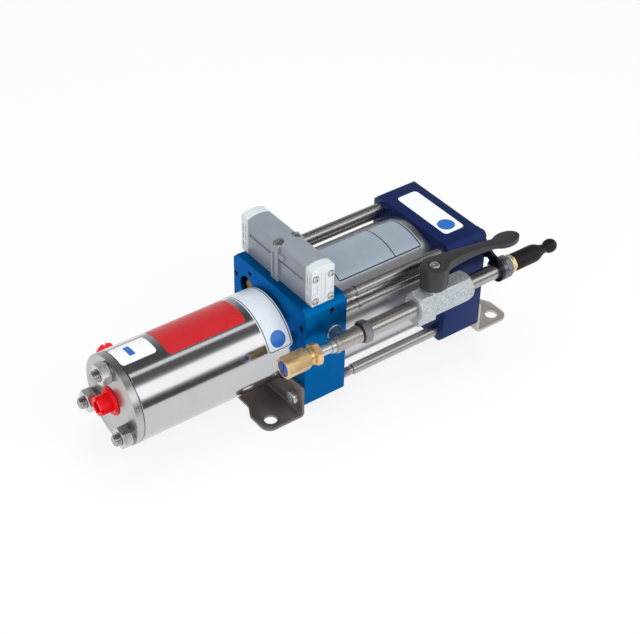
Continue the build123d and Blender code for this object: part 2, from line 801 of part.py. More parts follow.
def inlet_poppet():
    """The inlet check poppet, which opens inwards."""
    return poppet(inlet_seat_y, (inlet_x, 0, axis_z), ALONG_Y)


def inlet_spring():
    """The coil spring that closes the inlet poppet."""
    side = (inlet_x, 0, axis_z)
    end = inlet_seat_y - poppet_disc - face_gap
    return spring(spring_dia, spring_wire, spring_turns, inlet_bottom_y, end, side, ALONG_Y)


def port_plug(origin, along):
    """A plastic plug with a round flange, a hexagon head with a recess and a threaded shank."""
    flange_end = plug_flange_len
    end = plug_flange_len + plug_hex_len
    plug = rod(plug_rim_dia, 0, plug_rim_len, origin, along)
    plug += rod(plug_flange_dia, plug_rim_len, flange_end, origin, along)
    plug += hex_bar(plug_across, flange_end, end, origin, along)
    plug += rod(port_dia - 2 * fit_gap, -plug_shank_len, 0, origin, along)
    return plug - rod(plug_socket_dia, end - plug_socket_depth, end, origin, along)


def port_plugs():
    """The plugs of the gas outlet and of the gas inlet."""
    front = port_plug((barrel_front_x, 0, axis_z), (-1, 0, 0))
    side = port_plug((inlet_x, inlet_adapter_y, axis_z), ALONG_Y)
    return [front, side]


# Spool valve

valve_screw_inset = 2.0
boss_half = 4.7
boss_depth = 2.2
boss_drop = 0.6
valve_groove_rise = 20.5
valve_groove_width = 3.0
valve_groove_depth = 1.2
valve_groove_end = 2.5
valve_slot_width = 4.4
valve_slot_low = 5.0
valve_slot_high = 29.0
valve_screw_recess = 2.4
valve_screw_head_dia = 8.4
valve_screw_head_len = 2.8
valve_screw_head_z = block_top_z + valve_height - valve_screw_recess
cap_hollow_dia = 15.0
cap_screw_dia = 3.0
cap_screw_head_dia = 5.8
cap_screw_head_len = 2.2
cap_screw_len = 6.0
cap_screw_x = valve_depth / 2 - 3.4
cap_screw_zs = (block_top_z + 4.8, block_top_z + valve_height - 7.6)
cap_screw_places = [(valve_mid_x + x, 0, z) for x in (-cap_screw_x, cap_screw_x) for z in cap_screw_zs]
valve_port_dia = 4.0
valve_port_ys = (return_port_y, inlet_port_y, drive_port_y, exhaust_port_y)
spool_neck_dia = 7.2
spool_necks = ((-26.0, -17.0), (-10.0, -4.0), (4.0, 10.0), (17.0, 26.0))
spool_len = valve_y_far - valve_y_near + 2 * (valve_cap_hollow - spool_travel - fit_gap)


def valve_screw_places():
    """The X of the front and of the rear screw of the valve."""
    front = block_front_x + valve_start + valve_screw_inset
    rear = block_front_x + valve_start + valve_depth - valve_screw_inset
    return (front, rear)


def valve_section(y_start, y_end):
    """A stretch of the valve's section, flat at the sides and slightly crowned on top."""
    x0 = block_front_x + valve_start
    x1 = x0 + valve_depth
    shoulder = block_top_z + valve_height
    crown = ThreePointArc((x1, shoulder), ((x0 + x1) / 2, shoulder + valve_crown), (x0, shoulder))
    sides = Polyline((x0, shoulder), (x0, block_top_z), (x1, block_top_z), (x1, shoulder))
    face = Plane.XZ * make_face(sides + crown)
    return Pos(0, y_end, 0) * extrude(face, y_end - y_start)


def valve_body():
    """The valve's middle: a grooved body with a screw boss on its front and on its rear."""
    body = valve_section(valve_y_near, valve_y_far)
    x0 = block_front_x + valve_start
    x1 = x0 + valve_depth
    groove_len = valve_y_far - valve_y_near - 2 * valve_groove_end
    groove = Box(2 * valve_groove_depth, groove_len, valve_groove_width)
    boss_height = valve_height - boss_drop
    boss = Box(boss_depth, 2 * boss_half, boss_height)
    slot_height = valve_slot_high - valve_slot_low
    slot_z = block_top_z + (valve_slot_low + valve_slot_high) / 2
    for x, screw_x, outward in zip((x0, x1), valve_screw_places(), (-1, 1)):
        body -= Pos(x, spool_mid_y, block_top_z + valve_groove_rise) * groove
        body += Pos(x + outward * boss_depth / 2, 0, block_top_z + boss_height / 2) * boss
        boss_x = x + outward * boss_depth
        slot = Box(abs(boss_x - screw_x), valve_slot_width, slot_height)
        body -= Pos((screw_x + boss_x) / 2, 0, slot_z) * slot
        above = block_top_z + 2 * valve_height
        body -= rod(valve_screw_dia + 2 * hole_gap, block_top_z, above, (screw_x, 0, 0), ALONG_Z)
        seat_dia = valve_screw_head_dia + 2 * hole_gap
        body -= rod(seat_dia, valve_screw_head_z, above, (screw_x, 0, 0), ALONG_Z)
    body -= rod(spool_dia, valve_y_near, valve_y_far, (valve_mid_x, 0, spool_z), ALONG_Y)
    for y in valve_port_ys:
        body -= rod(valve_port_dia, block_top_z, spool_z, (valve_mid_x, y, 0), ALONG_Z)
    return body


def valve_end_caps():
    """The two end caps of the valve, hollowed for the spool's ends and drilled for their screws."""
    caps = []
    for inner_y, outward in ((valve_y_near, -1), (valve_y_far, 1)):
        outer_y = inner_y + outward * valve_cap_len
        hollow_y = inner_y + outward * valve_cap_hollow
        cap = valve_section(*sorted((inner_y, outer_y)))
        cap -= rod(cap_hollow_dia, *sorted((inner_y, hollow_y)), (valve_mid_x, 0, spool_z), ALONG_Y)
        for place in cap_screw_places:
            cap -= rod(cap_screw_dia + 2 * fit_gap, *sorted((inner_y, outer_y)), place, ALONG_Y)
        caps.append(cap)
    return caps


def valve_spool():
    """The spool with its lands and necks."""
    land_r = spool_dia / 2 - running_gap
    neck_r = spool_neck_dia / 2
    half = spool_len / 2
    outline = [(0, -half), (land_r, -half)]
    for start, end in spool_necks:
        outline += [(land_r, start), (neck_r, start), (neck_r, end), (land_r, end)]
    outline += [(land_r, half), (0, half)]
    return turned(outline, (valve_mid_x, spool_mid_y, spool_z), ALONG_Y)


def valve_screws():
    """The two pan head screws that hold the valve on the block."""
    screws = []
    head_end = valve_screw_head_z + valve_screw_head_len
    for x in valve_screw_places():
        place = (x, 0, 0)
        screw = rod(valve_screw_dia, block_top_z - valve_screw_depth, valve_screw_head_z, place, ALONG_Z)
        screws.append(screw + rod(valve_screw_head_dia, valve_screw_head_z, head_end, place, ALONG_Z))
    return screws


def valve_cap_screws():
    """The four screws of each end cap."""
    screws = []
    for outer_y, outward in ((valve_y_near - valve_cap_len, -1), (valve_y_far + valve_cap_len, 1)):
        head = sorted((outer_y, outer_y + outward * cap_screw_head_len))
        shank = sorted((outer_y, outer_y - outward * cap_screw_len))
        for place in cap_screw_places:
            screw = rod(cap_screw_head_dia, *head, place, ALONG_Y)
            screws.append(screw + rod(cap_screw_dia, *shank, place, ALONG_Y))
    return screws


# Feet

foot_edge_fillet = 8.5
foot_tip_fillet = 3.5
foot_bend_r = 3.5
foot_step_y = (15.2, 25.6)
foot_step = 5.6


def foot(face_x, outward):
    """One bent sheet foot on the flat end of a body, its upright cut to clear the barrel."""
    half = foot_width / 2
    y_in, y_out = foot_step_y
    side = Polyline(
        (0, 0), (foot_reach, 0), (foot_reach, foot_sheet), (foot_sheet, foot_sheet),
        (foot_sheet, foot_height), (0, foot_height), close=True,
    )
    sheet = Pos(0, half, 0) * extrude(Plane.XZ * make_face(side), foot_width)
    bend = sheet.edges().filter_by(Axis.Y).sort_by(lambda edge: edge.center().X + edge.center().Z)
    sheet = fillet(bend[0], foot_bend_r)
    inner = sheet.edges().filter_by(Axis.Y)
    corner = Vector(foot_sheet, 0, foot_sheet)
    sheet = fillet(inner.sort_by(lambda edge: (edge.center() - corner).length)[0], foot_bend_r - foot_sheet)
    plan = Polyline(
        (0, -half), (foot_reach, -half), (foot_reach, -y_out), (foot_reach - foot_step, -y_in),
        (foot_reach - foot_step, y_in), (foot_reach, y_out), (foot_reach, half), (0, half), close=True,
    )
    plan = make_face(plan)
    corners = [v for v in plan.vertices() if v.X > foot_reach - 1 and abs(v.Y) > half - 1]
    sheet &= extrude(fillet(corners, foot_edge_fillet), foot_height)
    upright = Pos(0, foot_height / 2) * Rectangle(foot_width, foot_height)
    upright -= Pos(0, axis_z) * Circle(foot_arc_r)
    tips = [v for v in upright.vertices() if v.Y > foot_height - 1]
    sheet &= extrude(Plane.YZ * fillet(tips, foot_tip_fillet), foot_reach)
    for y in (-foot_hole_y, foot_hole_y):
        sheet -= rod(foot_hole_dia, 0, foot_sheet, (foot_hole_reach, y, 0), ALONG_Z)
    for place in low_rod_places:
        sheet -= rod(clamp_screw_dia + 2 * hole_gap, 0, foot_sheet, place)
    if outward < 0:
        sheet = mirror(sheet, Plane.YZ)
    return Pos(face_x, 0, 0) * sheet


def foot_screws():
    """The two socket screws that hold the front foot."""
    head_x = block_front_x - foot_sheet
    tip_x = block_front_x + clamp_screw_grip
    return [socket_screw(clamp_screw_dia, head_x, tip_x, place) for place in low_rod_places]


# Air line

branch_dia = 12.0
branch_way_dia = 5.0
tee_dia = 15.2
tee_rim_dia = 16.4
tee_rim_len = 4.0
tee_way_dia = 6.0
tee_across = 14.0
tee_hex_len = 3.5
nipple_dia = 8.4
nipple_way_dia = 5.0
socket_len = 7.0
relief_across = 16.6
relief_collar_across = 17.0
relief_hex_len = 22.7
relief_neck_dia = 14.2
relief_neck_len = 6.2
relief_seat_x = relief_front_x + 20.4
relief_chamber_dia = 12.0
relief_chamber_len = 12.0
relief_mouth_dia = 13.0
relief_disc_len = 2.5
relief_disc_dia = 11.6
relief_stem_dia = 4.0
vent_dia = 2.2
vent_inset = 13.5
adjuster_recess = 0.6
adjuster_len = 4.0
union_across = 17.0
union_seal_dia = 19.0
union_seal_len = 1.6
union_shank_dia = 11.0
pipe_dia = 14.0
rear_pipe_dia = 13.3
pipe_grip = 5.0
valve_across = 23.5
valve_pipe_grip = 8.0
pad_len = 19.0
pad_width = 14.0
pad_low = 17.0
pad_high = 9.0
chamber_gap = 3.0
chamber_dia = ball_dia + chamber_gap
stem_dia = 7.0
stem_collar_dia = 16.0
stem_collar_low = 11.0
stem_collar_high = 14.9
stem_high = 22.0
stem_square = 5.0
stem_square_len = 7.0
tang_width = 6.0
tang_thick = 2.9
tang_depth = 2.3
slot_width = 3.0
slot_depth = 2.5
seat_bore_dia = 9.0
seat_shoulder_dia = 10.2
seat_contact_dia = 9.6
lever_hub_dia = 22.4
lever_hub_chamfer = 0.6
lever_hub_low = line_z + stem_collar_high + 0.4
lever_recess_dia = 10.0
lever_recess_depth = 1.5
lever_screw_dia = 4.0
lever_screw_head_dia = 9.0
lever_screw_head_len = 2.6
lever_root_thick = 13.0
lever_root_len = 12.0
lever_arm_thick = 7.0
lever_arm_width = 8.8
lever_reach = 85.0
paddle_len = 31.0
paddle_width = 16.0
paddle_thick = 5.0
bracket_ring_dia = 20.0
lock_nut_across = 17.0
lock_flange_dia = 20.0
lock_flange_len = 5.5
coupling_across = 17.0
coupling_dia = 12.0
coupling_neck_dia = 10.0
coupling_nose_dia = 9.2
coupling_nose_len = 16.0
coupling_way_dia = 4.4
coupling_shank_len = 8.0
cap_mouth_gap = 0.2
cap_hollow_len = 17.0
cap_mouth_r = 7.4
cap_belly_r = 7.8
cap_waist_r = 4.0
cap_grip_r = 6.1
cap_grip_start_r = 5.2


def line_socket(diameter, start, end):
    """The cut for a piece that is screwed into the air line."""
    return rod(diameter + 2 * fit_gap, start, end, LINE)


def air_tee():
    """The nickel tee that brings the air of the line into the block."""
    body = rod(tee_dia, tee_front_x, tee_rear_x, LINE)
    body += rod(tee_rim_dia, tee_front_x, tee_front_x + tee_rim_len, LINE)
    body += rod(tee_rim_dia, tee_rear_x - tee_rim_len, tee_rear_x, LINE)
    branch = (tee_branch_x, line_y, line_z)
    hex_start = line_offset - tee_hex_len
    thread_end = line_offset + tee_thread_len
    body += rod(branch_dia, 0, hex_start + end_gap, branch, ALONG_Y)
    body += hex_bar(tee_across, hex_start, line_offset, branch, ALONG_Y)
    body += rod(tee_thread_dia, line_offset, thread_end, branch, ALONG_Y)
    body -= line_socket(nipple_dia, tee_front_x, tee_front_x + socket_len)
    body -= line_socket(union_shank_dia, tee_rear_x - socket_len, tee_rear_x)
    body -= rod(tee_way_dia, tee_front_x, tee_rear_x, LINE)
    return body - rod(branch_way_dia, 0, thread_end, branch, ALONG_Y)


def relief_nipple():
    """The bright nipple between the relief valve and the tee."""
    start = relief_rear_x - socket_len + end_gap
    return ring(nipple_dia, nipple_way_dia, start, tee_front_x + socket_len - end_gap, LINE)


def relief_body():
    """The brass body of the relief valve: a long hexagon, a neck and a short hexagon."""
    neck_x = relief_front_x + relief_hex_len
    neck_end = neck_x + relief_neck_len
    chamber_x = relief_seat_x - relief_chamber_len
    body = hex_nut(relief_across, relief_front_x, neck_x, 0, LINE, turn=30)
    body += rod(relief_neck_dia, neck_x, neck_end + end_gap, LINE)
    body += hex_nut(relief_collar_across, neck_end, relief_rear_x, 0, LINE)
    body -= line_socket(nipple_dia, relief_rear_x - socket_len, relief_rear_x)
    body -= rod(nipple_way_dia, relief_seat_x, relief_rear_x, LINE)
    body -= rod(relief_chamber_dia, chamber_x, relief_seat_x, LINE)
    body -= rod(relief_mouth_dia, relief_front_x, chamber_x, LINE)
    vent = (relief_front_x + vent_inset, line_y, line_z)
    return body - rod(vent_dia, 0, relief_across, vent, ALONG_Z)


def relief_poppet():
    """The sprung disc that closes the relief valve's seat, with a stem inside its spring."""
    face = relief_seat_x - face_gap
    back = face - relief_disc_len
    stem_r = relief_stem_dia / 2
    disc_r = relief_disc_dia / 2
    outline = [(0, back - relief_disc_len), (stem_r, back - relief_disc_len), (stem_r, back)]
    return turned(outline + [(disc_r, back), (disc_r, face), (0, face)], LINE)


def relief_spring():
    """The coil spring of the relief valve, between its adjuster and its disc."""
    start = relief_front_x + adjuster_recess + adjuster_len
    end = relief_seat_x - relief_disc_len - face_gap
    return spring(spring_dia, spring_wire, spring_turns, start, end, LINE)


def relief_adjuster():
    """The blue screw that sets the relief spring, a little below the rim of its body."""
    front = relief_front_x + adjuster_recess
    return rod(relief_mouth_dia - 2 * fit_gap, front, front + adjuster_len, LINE)


def union_nut():
    """The nut with its seal between the tee and the first pipe."""
    hex_start = tee_rear_x + union_seal_len
    body = rod(union_seal_dia, tee_rear_x, hex_start, LINE)
    body += hex_nut(union_across, hex_start - 0.1, union_rear_x, 0, LINE)
    body += rod(union_shank_dia, tee_rear_x - socket_len + end_gap, tee_rear_x, LINE)
    body -= line_socket(pipe_dia, union_rear_x - pipe_grip, union_rear_x)
    return body - rod(tee_way_dia, tee_rear_x - socket_len, union_rear_x, LINE)


def line_pipes():
    """The two smooth pipes of the line, before and after the ball valve."""
    front_start = union_rear_x - pipe_grip + hole_gap
    front = ring(pipe_dia, line_bore, front_start, valve_front_x + valve_pipe_grip - end_gap, LINE)
    rear_start = valve_rear_x - valve_pipe_grip + end_gap
    rear = ring(rear_pipe_dia, line_bore, rear_start, hex_front_x - face_gap, LINE)
    return [front, rear]


def ball_valve_half(start, end, seam_x):
    """A hexagon with its corners turned off at both ends, cut flat where the halves meet."""
    beyond = seat_depth / 2
    if seam_x == end:
        return hex_nut(valve_across, start, end + beyond, 0, LINE, turn=30) & rod(60, start, end, LINE)
    return hex_nut(valve_across, start - beyond, end, 0, LINE, turn=30) & rod(60, start, end, LINE)


def ball_valve_body():
    """The front half of the ball valve, with the ball's chamber, a pad below and a stem bore."""
    body = ball_valve_half(valve_front_x, valve_seam_x, valve_seam_x)
    pad = Box(pad_len, pad_width, pad_low - pad_high)
    body += Pos(valve_front_x + pad_len / 2, line_y, line_z - (pad_low + pad_high) / 2) * pad
    body -= line_socket(pipe_dia, valve_front_x, valve_front_x + valve_pipe_grip)
    body -= rod(line_bore, valve_front_x, valve_seam_x, LINE)
    body -= rod(chamber_dia, ball_x - seat_depth, valve_seam_x, LINE)
    pivot = (ball_x, line_y, line_z)
    body += rod(stem_collar_dia, stem_collar_low, stem_collar_high, pivot, ALONG_Z)
    return body - rod(stem_dia + 2 * running_gap, 0, stem_collar_high, pivot, ALONG_Z)


def ball_valve_end():
    """The rear half of the ball valve, screwed on after the ball."""
    body = ball_valve_half(valve_seam_x, valve_rear_x, valve_seam_x)
    body -= line_socket(rear_pipe_dia, valve_rear_x - valve_pipe_grip, valve_rear_x)
    return body - rod(line_bore, valve_seam_x, valve_rear_x, LINE)


def valve_ball():
    """The bored ball, with the slot that the stem turns it by."""
    ball = Pos(ball_x, line_y, line_z) * Sphere(ball_dia / 2)
    ball -= rod(line_bore, ball_x - ball_dia, ball_x + ball_dia, LINE)
    slot = Box(ball_dia, slot_width, 2 * slot_depth)
    return ball - Pos(ball_x, line_y, line_z + ball_dia / 2) * slot


def ball_seats():
    """The two seats that the ball turns between, each with a cone that the ball just touches."""
    ball_r = ball_dia / 2 + running_gap
    contact_r = seat_contact_dia / 2
    contact_x = sqrt(ball_r**2 - contact_r**2)
    bore_r, shoulder_r = seat_bore_dia / 2, seat_shoulder_dia / 2
    outer_r = chamber_dia / 2 - fit_gap
    bore_x, shoulder_x = ((ball_r**2 - contact_r * r) / contact_x for r in (bore_r, shoulder_r))
    outline = [(bore_r, bore_x), (shoulder_r, shoulder_x), (outer_r, shoulder_x)]
    outline += [(outer_r, seat_depth), (bore_r, seat_depth)]
    centre = (ball_x, line_y, line_z)
    return [turned(outline, centre, (side, 0, 0)) for side in (-1, 1)]


def ball_stem():
    """The stem of the ball valve, with a tang below and a square end for the lever."""
    pivot = (ball_x, line_y, line_z)
    ball_r = ball_dia / 2
    tang_len = tang_depth + hole_gap
    stem = rod(stem_dia, ball_r + seal_end_gap, stem_high, pivot, ALONG_Z)
    tang = Box(tang_width, tang_thick, tang_len)
    stem += Pos(ball_x, line_y, line_z + ball_r - tang_depth + tang_len / 2) * tang
    square = Box(stem_square, stem_square, stem_square_len)
    stem += Pos(ball_x, line_y, line_z + stem_high + stem_square_len / 2) * square
    hole_low = stem_high - stem_square_len / 2
    return stem - rod(lever_screw_dia + 2 * fit_gap, hole_low, lever_rise, pivot, ALONG_Z)


def lever_screw():
    """The screw that holds the lever on its stem."""
    pivot = (ball_x, line_y, 0)
    seat = lever_top - lever_recess_depth
    tip = line_z + stem_high - stem_square_len / 2 + end_gap
    screw = rod(lever_screw_dia, tip, seat, pivot, ALONG_Z)
    return screw + rod(lever_screw_head_dia, seat, seat + lever_screw_head_len, pivot, ALONG_Z)


def valve_lever():
    """The plastic lever: a tall round hub, an arm that tapers both ways and a flat paddle."""
    hub = rod(lever_hub_dia, lever_hub_low, lever_top, (0, 0, 0), ALONG_Z)
    hub = chamfer(hub.faces().sort_by(Axis.Z)[-1].edges(), lever_hub_chamfer)
    paddle_start = lever_reach - paddle_len
    arm_end = paddle_start + paddle_width / 2
    arm_half = lever_arm_width / 2
    root_half = lever_hub_dia / 2 - 2 * hole_gap
    straight_x = lever_hub_dia + 4
    sides = Polyline(
        (0, root_half), (paddle_start - arm_half, arm_half), (arm_end, arm_half), (arm_end, -arm_half),
        (straight_x, -arm_half),
    )
    hollow = ThreePointArc(
        (straight_x, -arm_half), (straight_x * 0.6, -arm_half - 1.6), (lever_hub_dia * 0.2, 1 - root_half)
    )
    plan = make_face(sides + hollow + Line((lever_hub_dia * 0.2, 1 - root_half), (0, root_half)))
    low = lever_top - lever_root_thick
    side = Polyline(
        (0, low), (lever_root_len, low), (paddle_start - arm_half, lever_top - lever_arm_thick),
        (arm_end, lever_top - paddle_thick), (arm_end, lever_top), (0, lever_top), close=True,
    )
    arm = Pos(0, 0, low) * extrude(plan, lever_root_thick)
    arm &= Pos(0, lever_hub_dia, 0) * extrude(Plane.XZ * make_face(side), 2 * lever_hub_dia)
    paddle = RectangleRounded(paddle_len, paddle_width, paddle_width / 2 - end_gap)
    paddle = Pos(lever_reach - paddle_len / 2, 0, lever_top - paddle_thick) * extrude(paddle, paddle_thick)
    lever = Rot(0, 0, -lever_lean) * (hub + arm + paddle)
    lever -= rod(lever_recess_dia, lever_top - lever_recess_depth, lever_top, (0, 0, 0), ALONG_Z)
    lever -= rod(lever_screw_dia + 2 * hole_gap, lever_hub_low, lever_top, (0, 0, 0), ALONG_Z)
    lever -= rod(stem_dia + hole_gap, lever_hub_low, line_z + stem_high + 2 * fit_gap, (0, 0, 0), ALONG_Z)
    square = stem_square + 2 * fit_gap
    square_z = line_z + stem_high + stem_square_len / 2
    lever -= Pos(0, 0, square_z) * Box(square, square, stem_square_len + hole_gap)
    return Pos(ball_x, line_y, 0) * lever


def line_bracket():
    """The plate on the cap's rear face that carries the end of the line.

    It runs from a tab under one of the cap's screws down to a ring round the pipe.
    """
    screw_y, screw_z = -tie_rod_y, axis_z + tie_rod_rise
    tab = [(7.0, -16.0), (7.0, 6.5), (-1.5, 6.5), (-13.0, -5.5)]
    neck = [(5.2, 12.9), (0.6, 12.0), (-4.8, 8.5), (0.0, 0.0), (10.2, 7.5), (14.2, 5.5)]
    outline = [(screw_y + y, screw_z + z) for y, z in tab] + [(line_y + y, line_z + z) for y, z in neck]
    plate = make_face(Polyline(*outline, close=True)) + Pos(line_y, line_z) * Circle(bracket_ring_dia / 2)
    plate -= Pos(line_y, line_z) * Circle(rear_pipe_dia / 2 + fit_gap)
    plate -= Pos(screw_y, screw_z) * Circle(clamp_screw_dia / 2 + hole_gap)
    return Pos(cap_rear_x, 0, 0) * extrude(Plane.YZ * plate, bracket_thick)


def lock_nut():
    """The dark nut that clamps the line in the bracket, with a round flange."""
    start = cap_rear_x + bracket_thick
    flange_end = start + lock_flange_len
    nut = rod(lock_flange_dia, start, flange_end, LINE)
    nut += hex_nut(lock_nut_across, flange_end - end_gap, lock_nut_rear_x, 0, LINE)
    return nut - rod(rear_pipe_dia + 2 * fit_gap, start, lock_nut_rear_x, LINE)


def coupling_plug():
    """The brass quick coupling plug at the end of the line, under the dust cap."""
    body = hex_nut(coupling_across, hex_front_x, hex_rear_x, 0, LINE)
    body += rod(line_bore - 2 * fit_gap, hex_front_x - coupling_shank_len, hex_front_x, LINE)
    body_r, neck_r, nose_r = coupling_dia / 2, coupling_neck_dia / 2, coupling_nose_dia / 2
    slope = body_r - neck_r
    neck_x = hex_rear_x + 5.0
    collar_x = neck_x + 4.0
    end = hex_rear_x + coupling_nose_len
    nose = [(0, hex_rear_x), (body_r, hex_rear_x), (body_r, neck_x), (neck_r, neck_x + slope)]
    nose += [(neck_r, collar_x), (body_r, collar_x + slope), (body_r, end - 3 * slope)]
    nose += [(nose_r, end), (0, end)]
    body += turned(nose, LINE)
    return body - rod(coupling_way_dia, hex_front_x - coupling_shank_len, end, LINE)


def dust_cap():
    """The rubber cap over the coupling, with a belly at its mouth, a waist and a round grip."""
    start = hex_rear_x + cap_mouth_gap
    end = start + dust_cap_len
    grip_x = end - cap_grip_r
    grip_start = (cap_grip_start_r, grip_x - sqrt(cap_grip_r**2 - cap_grip_start_r**2))
    belly_x = start + 0.7 * cap_hollow_len
    shell = Polyline(
        (0, start), (cap_mouth_r, start), (cap_mouth_r, belly_x), (cap_belly_r, belly_x + 2.0),
        (cap_belly_r, belly_x + 6.0), (cap_waist_r, grip_x - 10.0), (cap_waist_r, grip_x - 6.5), grip_start,
    )
    grip = ThreePointArc(grip_start, (cap_grip_r, grip_x), (0, end))
    cap = turned(shell + grip + Line((0, end), (0, start)), LINE)
    return cap - rod(coupling_dia + cap_mouth_gap / 2, start, hex_rear_x + cap_hollow_len, LINE)


parts = {
    "centre_block": centre_block(),
    "rear_cap": rear_cap(),
    "rod_bush": rod_bush(),
    "rod_seals": rod_seals(),
    "airway_plugs": airway_plugs(),
    "silencer": silencer(),
    "drive_tube": drive_tube(),
    "cylinder_seals": cylinder_seals(),
    "tie_rods": tie_rods(),
    "tie_rod_screws": tie_rod_screws(),
    "air_tubes": air_tubes(),
    "air_piston": air_piston(),
    "air_piston_guide": air_piston_guide(),
    "piston_seals": piston_seals(),
    "piston_rod": piston_rod(),
    "piston_nuts": piston_nuts(),
    "gas_piston": gas_piston(),
    "pilot_guides": pilot_guides(),
    "pilot_pin_front": pilot_pin(block_rear_x, 1),
    "pilot_pin_rear": pilot_pin(cap_front_x, -1),
    "gas_head": gas_head(),
    "gas_cylinder": gas_cylinder(),
    "barrel_jacket": barrel_jacket(),
    "gas_studs": gas_studs(),
    "gas_stud_nuts": gas_stud_nuts(),
    "gas_stud_washers": gas_stud_washers(),
    "outlet_retainer": outlet_retainer(),
    "outlet_poppet": outlet_poppet(),
    "outlet_spring": outlet_spring(),
    "inlet_adapter": inlet_adapter(),
    "inlet_poppet": inlet_poppet(),
    "inlet_spring": inlet_spring(),
    "port_plugs": port_plugs(),
    "valve_body": valve_body(),
    "valve_end_caps": valve_end_caps(),
    "valve_spool": valve_spool(),
    "valve_screws": valve_screws(),
    "valve_cap_screws": valve_cap_screws(),
    "front_foot": foot(block_front_x, -1),
    "rear_foot": foot(cap_rear_x, 1),
    "foot_screws": foot_screws(),
    "air_tee": air_tee(),
    "relief_nipple": relief_nipple(),
    "relief_body": relief_body(),
    "relief_poppet": relief_poppet(),
    "relief_spring": relief_spring(),
    "relief_adjuster": relief_adjuster(),
    "union_nut": union_nut(),
    "line_pipes": line_pipes(),
    "ball_valve_body": ball_valve_body(),
    "ball_valve_end": ball_valve_end(),
    "valve_ball": valve_ball(),
    "ball_seats": ball_seats(),
    "ball_stem": ball_stem(),
    "lever_screw": lever_screw(),
    "valve_lever": valve_lever(),
    "line_bracket": line_bracket(),
    "lock_nut": lock_nut(),
    "coupling_plug": coupling_plug(),
    "dust_cap": dust_cap(),
}

os.makedirs("parts", exist_ok=True)
for name, shape in parts.items():
    solids = shape if isinstance(shape, list) else [shape]
    export_step(Compound(children=solids) if len(solids) > 1 else solids[0], f"parts/{name}.step")
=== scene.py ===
"""Looks of an air-driven gas booster pump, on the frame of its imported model.

Lengths are in millimetres until they reach a mesh, and in metres there. +Z is up, +X runs from the
gas barrel to the rear cap, and the air line is on the -Y side.
"""

import json
import logging
import math
from collections.abc import Callable, Iterable, Sequence
from dataclasses import dataclass, field
from enum import Enum

import bpy
from mathutils import Matrix, Vector


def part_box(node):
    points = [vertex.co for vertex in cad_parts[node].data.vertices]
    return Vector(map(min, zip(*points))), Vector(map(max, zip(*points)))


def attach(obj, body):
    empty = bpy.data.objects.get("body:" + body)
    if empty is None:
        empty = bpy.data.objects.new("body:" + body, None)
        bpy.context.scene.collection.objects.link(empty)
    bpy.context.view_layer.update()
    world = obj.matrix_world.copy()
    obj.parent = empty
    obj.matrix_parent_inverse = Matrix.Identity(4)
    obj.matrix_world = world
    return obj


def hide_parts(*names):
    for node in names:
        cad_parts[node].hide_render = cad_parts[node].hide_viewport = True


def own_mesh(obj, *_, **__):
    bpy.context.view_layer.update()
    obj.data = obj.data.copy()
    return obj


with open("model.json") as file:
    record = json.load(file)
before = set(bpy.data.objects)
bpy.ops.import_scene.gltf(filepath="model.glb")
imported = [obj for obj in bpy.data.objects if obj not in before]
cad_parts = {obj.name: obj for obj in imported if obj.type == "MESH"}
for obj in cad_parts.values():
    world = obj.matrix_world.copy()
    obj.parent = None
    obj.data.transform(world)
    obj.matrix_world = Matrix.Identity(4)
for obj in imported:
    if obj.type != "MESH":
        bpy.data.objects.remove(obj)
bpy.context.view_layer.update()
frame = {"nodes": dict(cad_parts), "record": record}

MM = 0.001
Point = tuple[float, float]
Triple = tuple[float, float, float]
Piece = bpy.types.Object
Tree = bpy.types.NodeTree
Node = bpy.types.Node
Socket = bpy.types.NodeSocket
log = logging.getLogger("pump")


class Along(Enum):
    """The axis that a turned or extruded piece follows."""

    X = 0
    Y = 1
    Z = 2

    @property
    def vector(self) -> Vector:
        """The axis as a unit vector."""
        return Vector([1.0 if index == self.value else 0.0 for index in range(3)])

    @property
    def side(self) -> Vector:
        """A direction square to the axis: up, or +X for an upright axis."""
        return Vector((1, 0, 0)) if self is Along.Z else Vector((0, 0, 1))


class Meet(Enum):
    """What becomes of a piece where others meet it."""

    CUT = "DIFFERENCE"
    ADD = "UNION"
    KEEP = "INTERSECT"


def span(node: str, axis: Along) -> Point:
    """Gives where a CAD node starts and ends along an axis, in millimetres.

    Args:
        node: The name of the CAD node.
        axis: The axis to measure along.

    Returns:
        The lowest and the highest place.
    """
    low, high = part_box(node)
    return (low[axis.value] / MM, high[axis.value] / MM)


def middle(node: str, axis: Along) -> float:
    """Gives the middle of a CAD node along an axis, in millimetres."""
    return sum(span(node, axis)) / 2


def radius_of(node: str) -> float:
    """Gives the radius of a round CAD node that lies along X, in millimetres."""
    low, high = span(node, Along.Z)
    return (high - low) / 2


# Places read from the frame
BLOCK_FRONT = span("barrel_jacket", Along.X)[1]
BLOCK_REAR, CAP_FRONT = span("drive_tube", Along.X)
CAP_REAR = span("rear_foot", Along.X)[0]
BODY_LOW, BODY_TOP = span("centre_block", Along.Z)
BODY_HALF = (BODY_TOP - BODY_LOW) / 2
AXIS_Z = middle("drive_tube", Along.Z)
LINE_Y = middle("line_pipes", Along.Y)
LINE_Z = middle("line_pipes", Along.Z)
AXIS = (0.0, 0.0, AXIS_Z)
LINE = (0.0, LINE_Y, LINE_Z)
ORIGIN = (0.0, 0.0, 0.0)

# Sizes that more than one place needs
AIR_TUBE_PLACES = ((-44.0, 87.5), (46.0, 87.0))
DISC_LIFT = 1.5
MERGE_DISTANCE = 1e-7
LEAST_ROUGHNESS = 0.02


# Modelling, as by hand


def clear_selection() -> None:
    """Leaves edit mode and deselects everything."""
    if bpy.context.mode != "OBJECT":
        bpy.ops.object.mode_set(mode="OBJECT")
    bpy.ops.object.select_all(action="DESELECT")


